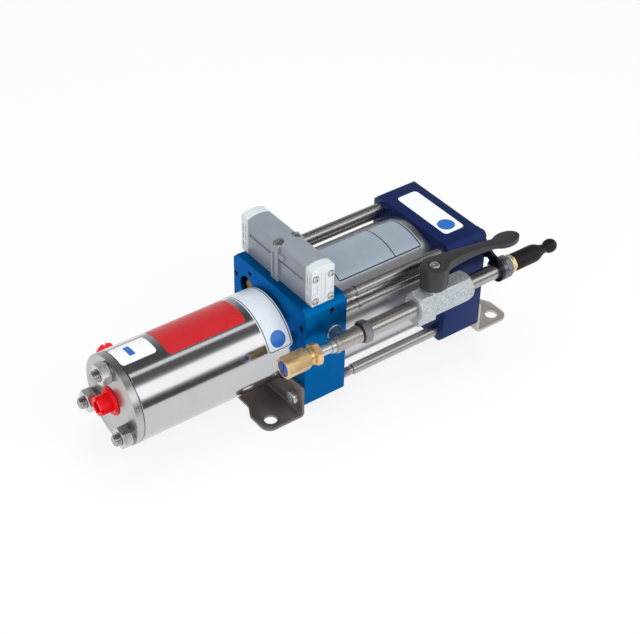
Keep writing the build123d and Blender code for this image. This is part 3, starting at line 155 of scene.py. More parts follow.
def take_up(piece: Piece) -> None:
    """Makes a piece the only selected and the active one."""
    clear_selection()
    piece.select_set(True)
    bpy.context.view_layer.objects.active = piece


def enter_edit(piece: Piece, everything: bool = True) -> None:
    """Starts editing a piece.

    Args:
        piece: The piece to edit.
        everything: Whether all of it is selected, or only the edges that code selected before.
    """
    take_up(piece)
    bpy.context.tool_settings.mesh_select_mode = (everything, not everything, False)
    bpy.ops.object.mode_set(mode="EDIT")
    if everything:
        bpy.ops.mesh.select_all(action="SELECT")


def close_up(piece: Piece) -> None:
    """Merges doubled points and turns all faces outwards."""
    enter_edit(piece)
    bpy.ops.mesh.remove_doubles(threshold=MERGE_DISTANCE)
    bpy.ops.mesh.normals_make_consistent(inside=False)
    clear_selection()


def outline_ring(name: str, points: Sequence[Vector]) -> Piece:
    """Lays a closed loop of points, from a circle primitive whose points are moved to their places.

    Args:
        name: The name of the new piece.
        points: The places of the points, in metres.

    Returns:
        The piece, with edges only.
    """
    clear_selection()
    bpy.ops.mesh.primitive_circle_add(vertices=len(points), radius=0.01)
    piece = bpy.context.active_object
    piece.name = name
    for vertex, place in zip(piece.data.vertices, points):
        vertex.co = place
    return piece


def shifted(start: float, outline: Iterable[Point]) -> list[Point]:
    """Moves an outline of (distance, radius) points along its axis."""
    return [(start + distance, radius) for distance, radius in outline]


def turned(
    name: str,
    outline: Sequence[Point],
    origin: Triple = AXIS,
    along: Along = Along.X,
    steps: int = 64,
    turn: float = 0.0,
) -> Piece:
    """Turns a closed outline of (distance, radius) points about a line, as on a lathe.

    Args:
        name: The name of the new piece.
        outline: The outline. One that starts and ends on the axis gives a solid, any other a ring.
        origin: A point of the axis, in millimetres.
        along: The axis's direction.
        steps: How many faces go round.
        turn: The angle at which the faces start, in degrees.

    Returns:
        The new piece, closed.
    """
    centre = Vector(origin) * MM
    side = Matrix.Rotation(math.radians(turn), 3, along.vector) @ along.side
    places = [centre + along.vector * distance * MM + side * radius * MM for distance, radius in outline]
    piece = outline_ring(name, places)
    if outline[0][1] == 0 and outline[-1][1] == 0:
        ends = {0, len(outline) - 1}
        for item in (*piece.data.vertices, *piece.data.edges):
            item.select = False
        for edge in piece.data.edges:
            edge.select = set(edge.vertices) == ends
        enter_edit(piece, everything=False)
        bpy.ops.mesh.delete(type="EDGE")
    enter_edit(piece)
    bpy.ops.mesh.spin(steps=steps, angle=math.tau, center=centre, axis=along.vector)
    close_up(piece)
    return piece


def extruded(name: str, outline: Sequence[Point], along: Along, start: float, end: float) -> Piece:
    """Extrudes a flat outline along an axis.

    Args:
        name: The name of the new piece.
        outline: The outline's points: (y, z), (x, z) or (x, y) for an axis along X, Y or Z.
        along: The axis.
        start: Where the piece starts on the axis.
        end: Where it ends.

    Returns:
        The new piece, closed.
    """
    places = []
    for first, second in outline:
        place = [first, second]
        place.insert(along.value, start)
        places.append(Vector(place) * MM)
    piece = outline_ring(name, places)
    enter_edit(piece)
    bpy.ops.mesh.edge_face_add()
    bpy.ops.mesh.extrude_region_move(TRANSFORM_OT_translate={"value": along.vector * (end - start) * MM})
    close_up(piece)
    return piece


def block(name: str, low: Triple, high: Triple) -> Piece:
    """Adds a cube between two corners."""
    clear_selection()
    centre = (Vector(low) + Vector(high)) / 2 * MM
    size = (Vector(high) - Vector(low)) * MM
    bpy.ops.mesh.primitive_cube_add(size=1, location=centre, scale=size)
    piece = bpy.context.active_object
    piece.name = name
    bpy.ops.object.transform_apply(location=True, rotation=True, scale=True)
    return piece


def bar(
    name: str,
    diameter: float,
    start: float,
    end: float,
    origin: Triple = AXIS,
    along: Along = Along.X,
    steps: int = 48,
) -> Piece:
    """Turns a plain round bar between two places on its axis, mostly to cut a hole with."""
    radius = diameter / 2
    return turned(name, [(start, 0), (start, radius), (end, radius), (end, 0)], origin, along, steps)


def crossed(place: Triple, along: Along, half: Point, start: float, end: float) -> list[Piece]:
    """Makes the two crossed bars that cut a screw's or a plug's slots.

    Args:
        place: A point of the head's axis.
        along: The head's axis.
        half: Half a slot's length and half its width.
        start: Where the bars start on the axis.
        end: Where they end.

    Returns:
        The two bars.
    """
    bars = []
    for first, second in (half, half[::-1]):
        reach = [first, second]
        reach.insert(along.value, 0.0)
        low = [spot - size for spot, size in zip(place, reach)]
        high = [spot + size for spot, size in zip(place, reach)]
        low[along.value], high[along.value] = start, end
        bars.append(block("cross", tuple(low), tuple(high)))
    return bars


def apply_modifier(piece: Piece, kind: str, **settings: object) -> None:
    """Adds a modifier with its settings and applies it."""
    take_up(piece)
    modifier = piece.modifiers.new(kind.lower(), kind)
    for key, value in settings.items():
        setattr(modifier, key, value)
    bpy.ops.object.modifier_apply(modifier=modifier.name)


def combine(piece: Piece, tools: Iterable[Piece], how: Meet) -> Piece:
    """Cuts with, adds or keeps what lies inside other pieces, which are used up.

    Args:
        piece: The piece that changes.
        tools: The other pieces.
        how: What becomes of the piece.

    Returns:
        The piece that changed.
    """
    for tool in tools:
        apply_modifier(piece, "BOOLEAN", operation=how.value, solver="EXACT", object=tool)
        bpy.data.objects.remove(tool, do_unlink=True)
    return piece


def soften(piece: Piece, width: float, segments: int = 2, angle: float = 28.0) -> Piece:
    """Breaks the edges of a piece that are sharper than an angle."""
    apply_modifier(
        piece,
        "BEVEL",
        width=width * MM,
        segments=segments,
        limit_method="ANGLE",
        angle_limit=math.radians(angle),
        use_clamp_overlap=True,
        miter_outer="MITER_ARC",
    )
    return piece


def bevel_edges(piece: Piece, chosen: Callable[[Vector, Vector], bool], width: float, segments: int) -> None:
    """Bevels the edges that a test picks by their two ends.

    Args:
        piece: The piece to bevel.
        chosen: The test, given both ends in millimetres.
        width: The width of the bevel.
        segments: Its number of segments.
    """
    points = [vertex.co / MM for vertex in piece.data.vertices]
    for item in (*piece.data.polygons, *piece.data.vertices, *piece.data.edges):
        item.select = False
    for edge in piece.data.edges:
        edge.select = chosen(points[edge.vertices[0]], points[edge.vertices[1]])
    enter_edit(piece, everything=False)
    bpy.ops.mesh.bevel(offset=width * MM, segments=segments, affect="EDGES")
    clear_selection()


def joined(pieces: Sequence[Piece]) -> Piece:
    """Joins pieces into the first of them."""
    take_up(pieces[0])
    for piece in pieces[1:]:
        piece.select_set(True)
    bpy.ops.object.join()
    return bpy.context.active_object


def copied(piece: Piece, name: str, move: Triple = ORIGIN, matrix: Matrix | None = None) -> Piece:
    """Copies a piece with its own mesh, moved or turned.

    Args:
        piece: The piece to copy.
        name: The name of the copy.
        move: How far the copy moves, in millimetres.
        matrix: A turn or mirror about the origin, before the move.

    Returns:
        The copy, with its place in its mesh.
    """
    take_up(piece)
    bpy.ops.object.duplicate(linked=False)
    copy = bpy.context.active_object
    copy.name = name
    copy.data.name = name
    copy.data.transform(Matrix.Translation(Vector(move) * MM) @ (matrix or Matrix.Identity(4)))
    if matrix is not None and matrix.determinant() < 0:
        close_up(copy)
    return copy


def rounded(corners: Sequence[Triple], steps: int = 6) -> list[Point]:
    """Rounds the corners of a flat outline.

    Args:
        corners: Each corner as (first, second, radius).
        steps: How many edges a rounded corner gets.

    Returns:
        The outline's points.
    """
    points: list[Point] = []
    count = len(corners)
    for index, (x, y, radius) in enumerate(corners):
        here = Vector((x, y))
        if radius <= 0:
            points.append((x, y))
            continue
        before = (Vector(corners[index - 1][:2]) - here).normalized()
        after = (Vector(corners[(index + 1) % count][:2]) - here).normalized()
        half = before.angle(after) / 2
        centre = here + (before + after).normalized() * (radius / math.sin(half))
        start = here + before * (radius / math.tan(half)) - centre
        end = here + after * (radius / math.tan(half)) - centre
        sweep = start.angle_signed(end)
        for step in range(steps + 1):
            turn = Matrix.Rotation(-sweep * step / steps, 2)
            spot = centre + turn @ start
            points.append((spot.x, spot.y))
    return points


def hex_nut(
    name: str,
    across: float,
    start: float,
    end: float,
    bore: float,
    origin: Triple,
    along: Along = Along.X,
    turn: float = 0.0,
    rounding: float = 0.4,
) -> Piece:
    """Makes a hexagon whose corners are turned off at both ends, with a countersunk bore.

    Args:
        name: The name of the new piece.
        across: The width over the flats.
        start: Where it starts on its axis.
        end: Where it ends.
        bore: The diameter of the bore, or 0 for none.
        origin: A point of the axis.
        along: The axis.
        turn: The angle of the first corner, in degrees.
        rounding: How much the ends are turned off, on the radius at the flats.

    Returns:
        The new piece.
    """
    corner = across / math.sqrt(3)
    off = (corner - across / 2 + rounding) * math.tan(math.radians(30))
    flat = across / 2 - rounding
    bar_ends = [(start - 1, 0), (start - 1, corner), (end + 1, corner), (end + 1, 0)]
    hexagon = turned(name, bar_ends, origin, along, 6, turn)
    profile = [(start, flat), (start + off, corner + 0.05), (end - off, corner + 0.05), (end, flat)]
    if bore > 0:
        wide = min(bore / 2 + 0.5, flat - 0.3)
        profile = [(start, wide), *profile, (end, wide), (end - 0.5, bore / 2), (start + 0.5, bore / 2)]
    else:
        profile = [(start, 0), *profile, (end, 0)]
    combine(hexagon, [turned("envelope", profile, origin, along, 96)], Meet.KEEP)
    return soften(hexagon, 0.2, 2)


def threaded(start: float, end: float, radius: float, pitch: float, depth: float) -> list[Point]:
    """Gives the outline of a thread as rings, from one distance to another."""
    points: list[Point] = []
    turns = int((end - start) / pitch)
    for index in range(turns):
        low = start + index * pitch
        points += [(low, radius - depth), (low + pitch * 0.4, radius), (low + pitch * 0.6, radius)]
    points.append((end, radius - depth))
    return points


def socket_screw(
    name: str, diameter: float, seat: float, outward: int, place: Triple, head_len: float = 0.0
) -> Piece:
    """Makes the head of a socket screw along X, with a rounded rim and a hexagon socket.

    Args:
        name: The name of the new piece.
        diameter: The thread's diameter.
        seat: Where the head sits.
        outward: 1 or -1, the way it points.
        place: A point of its axis.
        head_len: The head's length, or 0 for one as long as the thread is wide.

    Returns:
        The head.
    """
    radius = diameter / 1.2
    head_len = head_len or diameter
    far = seat + outward * head_len
    rim = far - outward * 0.6
    outline = [(seat, 0), (seat, radius - 0.15), (seat + outward * 0.3, radius), (rim, radius)]
    outline += [(far - outward * 0.2, radius - 0.25), (far, radius - 0.7), (far, 0)]
    head = turned(name, outline, place)
    corner = diameter * 0.86 / math.sqrt(3)
    floor = far - outward * head_len * 0.53
    mouth = [(floor, 0), (floor, corner), (far + outward, corner), (far + outward, 0)]
    combine(head, [turned("socket", mouth, place, Along.X, 6)], Meet.CUT)
    return soften(head, 0.12, 1)


# Finishes


def linear(code: str) -> tuple[float, float, float, float]:
    """Turns an sRGB hex colour to linear light, with an alpha of 1."""
    values = [int(code[index : index + 2], 16) / 255 for index in (1, 3, 5)]
    red, green, blue = [v / 12.92 if v <= 0.04045 else ((v + 0.055) / 1.055) ** 2.4 for v in values]
    return (red, green, blue, 1.0)


def per_metre(size: float) -> float:
    """Gives a texture scale for a feature size in millimetres."""
    return 1000.0 / size


def add_node(
    tree: Tree,
    kind: str,
    settings: dict[str, object] | None = None,
    values: dict[str | int, object] | None = None,
    links: dict[str | int, Node | Socket] | None = None,
) -> Node:
    """Adds a node with its settings, its socket values and the links into it.

    Args:
        tree: The node tree.
        kind: The node's type, without its first word.
        settings: Properties of the node.
        values: Default values of its input sockets.
        links: Sockets that feed its inputs, or nodes whose first output does.

    Returns:
        The node.
    """
    node = tree.nodes.new(f"ShaderNode{kind}")
    for key, value in (settings or {}).items():
        setattr(node, key, value)
    for key, value in (values or {}).items():
        node.inputs[key].default_value = value
    for key, source in (links or {}).items():
        tree.links.new(source.outputs[0] if isinstance(source, Node) else source, node.inputs[key])
    return node


def new_material(name: str) -> tuple[bpy.types.Material, Tree, Node]:
    """Gives a new material, its node tree and its shader."""
    material = bpy.data.materials.new(name)
    material.use_nodes = True
    return material, material.node_tree, material.node_tree.nodes["Principled BSDF"]


MADE: dict[str, bpy.types.Material] = {}


@dataclass(frozen=True)
class Finish:
    """A finish with its grain: colour and roughness that wander, and a fine relief.

    Each kind of finish below gives its own defaults.
    """

    name: str
    colour: str
    tint: str
    roughness: float
    roughness_spread: float = 0.05
    metallic: float = 0.0
    coat: float = 0.0
    coat_roughness: float = 0.1
    specular: float = 0.5
    reflection: str = "#ffffff"
    patch_mm: float = 14.0
    patch_sharpness: float = 0.25
    grain_mm: Triple = (0.3, 0.3, 0.3)
    relief_mm: float = 0.004

    def material(self) -> bpy.types.Material:
        """Gives the finish's material, made once."""
        if self.name not in MADE:
            MADE[self.name] = self.build()
        return MADE[self.name]

    def build(self) -> bpy.types.Material:
        """Builds the node tree.

        Returns:
            The new material.
        """
        material, tree, shader = new_material(self.name)
        for socket, value in (
            ("Metallic", self.metallic),
            ("Coat Weight", self.coat),
            ("Coat Roughness", self.coat_roughness),
            ("Specular IOR Level", self.specular),
            ("Specular Tint", linear(self.reflection)),
        ):
            shader.inputs[socket].default_value = value
        where = add_node(tree, "TexCoord").outputs["Object"]
        tree.links.new(self.colour_socket(tree, where), shader.inputs["Base Color"])
        grain = self.grain(tree, where)
        low = max(self.roughness - self.roughness_spread, LEAST_ROUGHNESS)
        high = self.roughness + self.roughness_spread
        levels = {"From Min": 0.3, "From Max": 0.7, "To Min": low, "To Max": high}
        rough = add_node(tree, "MapRange", values=levels, links={"Value": grain})
        tree.links.new(rough.outputs["Result"], shader.inputs["Roughness"])
        if self.relief_mm > 0:
            relief = {"Strength": 1.0, "Distance": self.relief_mm * MM}
            bump = add_node(tree, "Bump", values=relief, links={"Height": grain})
            tree.links.new(bump.outputs["Normal"], shader.inputs["Normal"])
        return material

    def colour_socket(self, tree: Tree, where: Socket) -> Socket:
        """Mixes the finish's two colours in soft patches.

        Args:
            tree: The node tree.
            where: The coordinates.

        Returns:
            The colour.
        """
        cloud = {"Scale": per_metre(self.patch_mm), "Detail": 4.0, "Roughness": 0.6}
        patches = add_node(tree, "TexNoise", values=cloud, links={"Vector": where})
        edges = {"From Min": 0.5 - self.patch_sharpness, "From Max": 0.5 + self.patch_sharpness}
        share = add_node(tree, "MapRange", values=edges, links={"Value": patches})
        colours = {6: linear(self.colour), 7: linear(self.tint)}
        return add_node(tree, "Mix", {"data_type": "RGBA"}, colours, {0: share}).outputs[2]

    def grain(self, tree: Tree, where: Socket) -> Socket:
        """Makes the fine grain, stretched to the grain's size along each axis.

        Args:
            tree: The node tree.
            where: The coordinates.

        Returns:
            The grain's height, from 0 to 1.
        """
        scale = tuple(per_metre(size) for size in self.grain_mm)
        stretch = add_node(tree, "Mapping", {}, {"Scale": scale}, {"Vector": where})
        cloud = {"Scale": 1.0, "Detail": 3.0, "Roughness": 0.55}
        return add_node(tree, "TexNoise", values=cloud, links={"Vector": stretch}).outputs["Fac"]


@dataclass(frozen=True)
class AnodisedAluminium(Finish):
    """Milled and dyed aluminium: a deep colour with a satin sheen and a faint cutter grain."""

    roughness: float = 0.36
    metallic: float = 0.85
    specular: float = 0.3
    patch_mm: float = 30.0
    grain_mm: Triple = (2.5, 0.35, 0.35)
    relief_mm: float = 0.003


@dataclass(frozen=True)
class PolishedSteel(Finish):
    """Stainless tube polished on a lathe: a mirror with fine rings that blur it a little across."""

    roughness: float = 0.13
    roughness_spread: float = 0.03
    metallic: float = 1.0
    patch_mm: float = 40.0
    grain_mm: Triple = (1.2, 30.0, 30.0)
    relief_mm: float = 0.0008


@dataclass(frozen=True)
class TurnedSteel(Finish):
    """Steel turned on a lathe and left bare: bright, with cutter rings across its length."""

    roughness: float = 0.24
    roughness_spread: float = 0.08
    metallic: float = 1.0
    grain_mm: Triple = (0.8, 6.0, 6.0)
    relief_mm: float = 0.003


@dataclass(frozen=True)
class BrushedSheet(Finish):
    """Rolled stainless sheet brushed along its width: grey, with long streaks and a broad shine."""

    roughness: float = 0.36
    roughness_spread: float = 0.1
    metallic: float = 1.0
    patch_mm: float = 22.0
    grain_mm: Triple = (0.35, 14.0, 0.35)
    relief_mm: float = 0.004


@dataclass(frozen=True)
class PlatedForging(Finish):
    """A forged body with a dull plating: light grey, mottled, with a slightly pitted skin."""

    roughness: float = 0.42
    roughness_spread: float = 0.12
    metallic: float = 0.75
    patch_mm: float = 1.6
    patch_sharpness: float = 0.14
    grain_mm: Triple = (0.9, 0.9, 0.9)
    relief_mm: float = 0.03


@dataclass(frozen=True)
class BareBrass(Finish):
    """Machined brass, unlacquered: yellow and bright, with slightly brown places."""

    roughness: float = 0.2
    roughness_spread: float = 0.08
    metallic: float = 1.0
    patch_mm: float = 5.0
    grain_mm: Triple = (0.4, 3.0, 3.0)
    relief_mm: float = 0.006


@dataclass(frozen=True)
class SinteredBronze(Finish):
    """Pressed bronze grains: dull and rough like fine sand."""

    roughness: float = 0.5
    roughness_spread: float = 0.15
    metallic: float = 0.9
    patch_mm: float = 0.7
    grain_mm: Triple = (0.5, 0.5, 0.5)
    relief_mm: float = 0.12


@dataclass(frozen=True)
class MouldedPlastic(Finish):
    """Injection moulded plastic: an even colour, with the fine texture of the mould."""

    roughness: float = 0.38
    roughness_spread: float = 0.06
    patch_mm: float = 18.0
    grain_mm: Triple = (0.45, 0.45, 0.45)
    relief_mm: float = 0.012


@dataclass(frozen=True)
class VulcanisedRubber(Finish):
    """Moulded rubber: deep black and matt, with a soft shine where it curves."""

    roughness: float = 0.46
    roughness_spread: float = 0.07
    patch_mm: float = 9.0
    grain_mm: Triple = (0.6, 0.6, 0.6)
    relief_mm: float = 0.015


@dataclass(frozen=True)
class PaintedCasting(Finish):
    """A die casting with a thin coat of paint: an even colour and a soft, slightly uneven gloss."""

    roughness: float = 0.4
    roughness_spread: float = 0.06
    metallic: float = 0.2
    patch_mm: float = 16.0
    grain_mm: Triple = (0.7, 0.7, 0.7)
    relief_mm: float = 0.012


@dataclass(frozen=True)
class Mark:
    """A printed mark on a film: a rounded box, a disc or the line round one.

    The middle and the half size are in millimetres from the film's middle. A line width of 0 fills it.
    """

    colour: str
    middle: Point
    half: Point
    radius: float = 0.0
    line: float = 0.0


@dataclass(frozen=True)
class PrintedFilm(Finish):
    """A thin printed film under a clear coat: flat colours with crisp edges and a soft gloss."""

    roughness: float = 0.3
    roughness_spread: float = 0.04
    coat: float = 0.3
    coat_roughness: float = 0.12
    patch_mm: float = 25.0
    grain_mm: Triple = (8.0, 8.0, 8.0)
    relief_mm: float = 0.0
    size_mm: Point = (10.0, 10.0)
    marks: tuple[Mark, ...] = ()

    def colour_socket(self, tree: Tree, where: Socket) -> Socket:
        """Prints the marks over the film's own colour.

        Args:
            tree: The node tree.
            where: The coordinates of the film's own colour.

        Returns:
            The colour.
        """
        colour = super().colour_socket(tree, where)
        sheet = add_node(tree, "TexCoord").outputs["UV"]
        size = Vector((*self.size_mm, 0))
        scale = {1: size, 2: -size / 2}
        spot = add_node(tree, "VectorMath", {"operation": "MULTIPLY_ADD"}, scale, {0: sheet})
        for mark in self.marks:
            links = {0: self.mask(tree, spot, mark), 6: colour}
            mix = add_node(tree, "Mix", {"data_type": "RGBA"}, {7: linear(mark.colour)}, links)
            colour = mix.outputs[2]
        return colour

    def mask(self, tree: Tree, spot: Node, mark: Mark) -> Node:
        """Gives 1 inside a mark and 0 outside.

        Args:
            tree: The node tree.
            spot: The node that gives the place on the film, in millimetres.
            mark: The mark.

        Returns:
            The mask's node.
        """
        offset = add_node(tree, "VectorMath", {"operation": "SUBTRACT"}, {1: (*mark.middle, 0)}, {0: spot})
        size = add_node(tree, "VectorMath", {"operation": "ABSOLUTE"}, {}, {0: offset})
        reach = (mark.half[0] - mark.radius, mark.half[1] - mark.radius, 0)
        over = add_node(tree, "VectorMath", {"operation": "SUBTRACT"}, {1: reach}, {0: size})
        clipped = add_node(tree, "VectorMath", {"operation": "MAXIMUM"}, {1: (0, 0, 0)}, {0: over})
        length = add_node(tree, "VectorMath", {"operation": "LENGTH"}, {}, {0: clipped}).outputs["Value"]
        rim = {1: mark.radius + 0.001}
        inside = add_node(tree, "Math", {"operation": "LESS_THAN"}, rim, {0: length})
        if mark.line == 0:
            return inside
        rim = {1: mark.radius - mark.line}
        beyond = add_node(tree, "Math", {"operation": "GREATER_THAN"}, rim, {0: length})
        return add_node(tree, "Math", {"operation": "MULTIPLY"}, {}, {0: inside, 1: beyond})


BLUE_ANODISED = AnodisedAluminium(
    "blue_anodised_aluminium", "#00609e", "#0068aa", roughness=0.4, reflection="#4fb0ff"
)
NAVY_ANODISED = AnodisedAluminium(
    "navy_anodised_aluminium", "#1a2a5a", "#1f2f62", metallic=0.45, specular=0.4, reflection="#a3b3da"
)
MIRROR_TUBE = PolishedSteel("polished_stainless_tube", "#c8c8cb", "#c0c0c4")
BRIGHT_BAR = PolishedSteel(
    "ground_steel_bar", "#b8b5b4", "#aeabaa", roughness=0.3, roughness_spread=0.05
)
MACHINED = TurnedSteel("machined_steel", "#b9b8b5", "#a6a5a2")
PLATED_STEEL = TurnedSteel("zinc_plated_steel", "#dcdddd", "#c6c8ca", roughness=0.32)
SATIN_TUBE = PolishedSteel(
    "satin_stainless_tube", "#d2d2d6", "#c9c9ce", roughness=0.3, grain_mm=(1.5, 24.0, 24.0)
)
STUD_STEEL = TurnedSteel("rolled_thread_steel", "#b4b4b6", "#98989a", roughness=0.22)
NUT_STEEL = TurnedSteel("dull_steel_nut", "#98969a", "#88868a", roughness=0.34)
LOCK_STEEL = TurnedSteel("zinc_grey_steel_nut", "#85858b", "#737379", roughness=0.36)
MACHINED_FACE = TurnedSteel(
    "faced_stainless_steel", "#c6c5c6", "#bab9bb", roughness=0.33, grain_mm=(4.0, 0.5, 0.5), relief_mm=0.004
)
NICKEL = TurnedSteel(
    "nickel_plated_brass", "#c4bfb9", "#aba59e", roughness=0.4, patch_mm=1.6, patch_sharpness=0.15
)
BLACKENED = TurnedSteel("blackened_steel", "#4a4a50", "#3a3a40", roughness=0.36)
SHEET = BrushedSheet("brushed_stainless_sheet", "#cdc6c1", "#bdb6b0", metallic=0.7, roughness=0.42)
# A darker copy of the brushed sheet, as painted shade: the front foot sits in the barrel's shadow.
SHADED_SHEET = BrushedSheet("shaded_stainless_sheet", "#857d78", "#776f6b", metallic=0.7, roughness=0.42)
FORGED = PlatedForging("plated_forged_body", "#d0d6da", "#a9b0b5", metallic=0.6)
BRASS = BareBrass("bare_brass", "#eed0a0", "#dcb984", roughness=0.33, metallic=0.85)
BRONZE = SinteredBronze("sintered_bronze", "#a97e45", "#8a6230")
RED_PLASTIC = MouldedPlastic("red_moulded_plastic", "#f0101c", "#e20d18", roughness=0.34, specular=0.35)
BLUE_PLASTIC = MouldedPlastic("blue_moulded_plastic", "#1552b8", "#0f469f", roughness=0.3)
BLACK_PLASTIC = MouldedPlastic("black_moulded_plastic", "#2b2b2f", "#333337", specular=0.4)
SEAT_POLYMER = MouldedPlastic("white_seat_polymer", "#e6e5e0", "#dad9d3", roughness=0.5)
TAPE = MouldedPlastic(
    "thread_seal_tape", "#eeece4", "#d9d5c8", roughness=0.6, patch_mm=1.2, relief_mm=0.08
)
RUBBER = VulcanisedRubber("black_rubber", "#121214", "#19191b", specular=0.25)
SEAL_RUBBER = VulcanisedRubber("seal_rubber", "#141414", "#1b1b1b")
GREY_CASTING = PaintedCasting("grey_painted_casting", "#949ba5", "#8b929c")
PALE_CASTING = PaintedCasting("pale_painted_casting", "#dde2e6", "#d2d7db")

# The finish of each material slot of the record, for the CAD nodes that stay in view or inside
SLOT_FINISH: dict[str, Finish] = {
    "block_blue": BLUE_ANODISED,
    "cap_navy": NAVY_ANODISED,
    "polished_stainless": MIRROR_TUBE,
    "bright_steel": BRIGHT_BAR,
    "machined_steel": MACHINED,
    "stainless_sheet": SHEET,
    "dark_steel": BLACKENED,
    "zinc_body": FORGED,
    "nickel": NICKEL,
    "brass": BRASS,
    "bronze": BRONZE,
    "valve_grey": GREY_CASTING,
    "valve_light": PALE_CASTING,
    "red_plastic": RED_PLASTIC,
    "blue_plastic": BLUE_PLASTIC,
    "black_plastic": BLACK_PLASTIC,
    "black_rubber": RUBBER,
    "seal": SEAL_RUBBER,
    "white_polymer": SEAT_POLYMER,
}


@dataclass
class SubAssembly:
    """A group of pieces that is built together.

    Attributes:
        pieces: The finished pieces.
    """

    pieces: list[Piece] = field(default_factory=list)

    def dress(
        self,
        piece: Piece,
        finish: Finish,
        slot: str,
        nodes: Sequence[str] = (),
        body: str = "pump",
        smooth: float = 32.0,
    ) -> Piece:
        """Shades a piece, gives it its finish, hangs it on its body and hides the CAD nodes that it stands
        for.

        Args:
            piece: The piece.
            finish: Its finish.
            slot: The record's material slot; not used.
            nodes: The CAD nodes that it replaces.
            body: The body that it rides on.
            smooth: The largest angle that is shaded smooth, in degrees.

        Returns:
            The piece.
        """
        take_up(piece)
        bpy.ops.object.shade_smooth_by_angle(angle=math.radians(smooth))
        piece.data.materials.clear()
        piece.data.materials.append(finish.material())
        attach(piece, body)
        if nodes:
            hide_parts(*nodes)
        self.pieces.append(piece)
        return piece

    def build(self) -> None:
        """Builds all pieces."""
        raise NotImplementedError


@dataclass
class Housing(SubAssembly):
    """The blue centre block, the navy rear cap and the silencer."""

    chamfer: float = 5.3
    edge_break: float = 0.45
    plug_hole: float = 5.4
    plug_depth: float = 5.0
    upper_mouth: Point = (26.3, 98.1)
    side_mouth: Point = (25.25, 98.7)
    recess: float = 20.0
    recess_depth: float = 14.0
    foot_across: float = 15.0
    foot_len: float = 3.5

    def __post_init__(self) -> None:
        """Reads the silencer's place from the frame."""
        self.silencer_place = (0, middle("silencer", Along.Y), middle("silencer", Along.Z))

    def build(self) -> None:
        """Builds all pieces."""
        self.centre_block()
        cap = self.square_body("rear_cap_body", CAP_FRONT, CAP_REAR)
        self.dress(cap, NAVY_ANODISED, "cap_navy", ["rear_cap"])
        self.silencer()

    def square_body(self, name: str, start: float, end: float) -> Piece:
        """Mills a square body with wide chamfers along it and broken edges."""
        piece = block(name, (start, -BODY_HALF, BODY_LOW), (end, BODY_HALF, BODY_TOP))
        bevel_edges(piece, lambda one, two: abs(one.x - two.x) > 10, self.chamfer, 1)
        return soften(piece, self.edge_break, 3)

    def centre_block(self) -> None:
        """Builds the block with its drilled mouths and the silencer's recess."""
        piece = self.square_body("centre_block_body", BLOCK_FRONT, BLOCK_REAR)
        start, end = BLOCK_FRONT - 1, BLOCK_FRONT + self.plug_depth
        mouths = (*AIR_TUBE_PLACES, self.upper_mouth)
        tools = [bar("mouth", self.plug_hole, start, end, (0, y, z)) for y, z in mouths]
        side = (BLOCK_FRONT + self.side_mouth[0], 0, self.side_mouth[1])
        near_y = span("airway_plugs", Along.Y)[0]
        tools.append(bar("side_mouth", self.plug_hole, near_y - 1.5, near_y + 4, side, Along.Y))
        end = BLOCK_FRONT + self.recess_depth
        tools.append(bar("recess", self.recess, start, end, self.silencer_place, steps=64))
        combine(piece, tools, Meet.CUT)
        self.dress(piece, BLUE_ANODISED, "block_blue", ["centre_block"])

    def silencer(self) -> None:
        """Turns the silencer's grainy body on its hexagon foot."""
        place, bottom = self.silencer_place, BLOCK_FRONT + self.recess_depth
        outline = shifted(span("silencer", Along.X)[0], [(0, 0), (0, 4.0), (0.8, 5.8), (2.6, 7.3)])
        body = turned("silencer_body", outline + shifted(bottom, [(-3.6, 7.5), (-3.6, 0)]), place)
        foot = hex_nut("silencer_foot", self.foot_across, bottom - self.foot_len, bottom, 0, place)
        self.dress(joined([body, foot]), BRONZE, "bronze", ["silencer"])


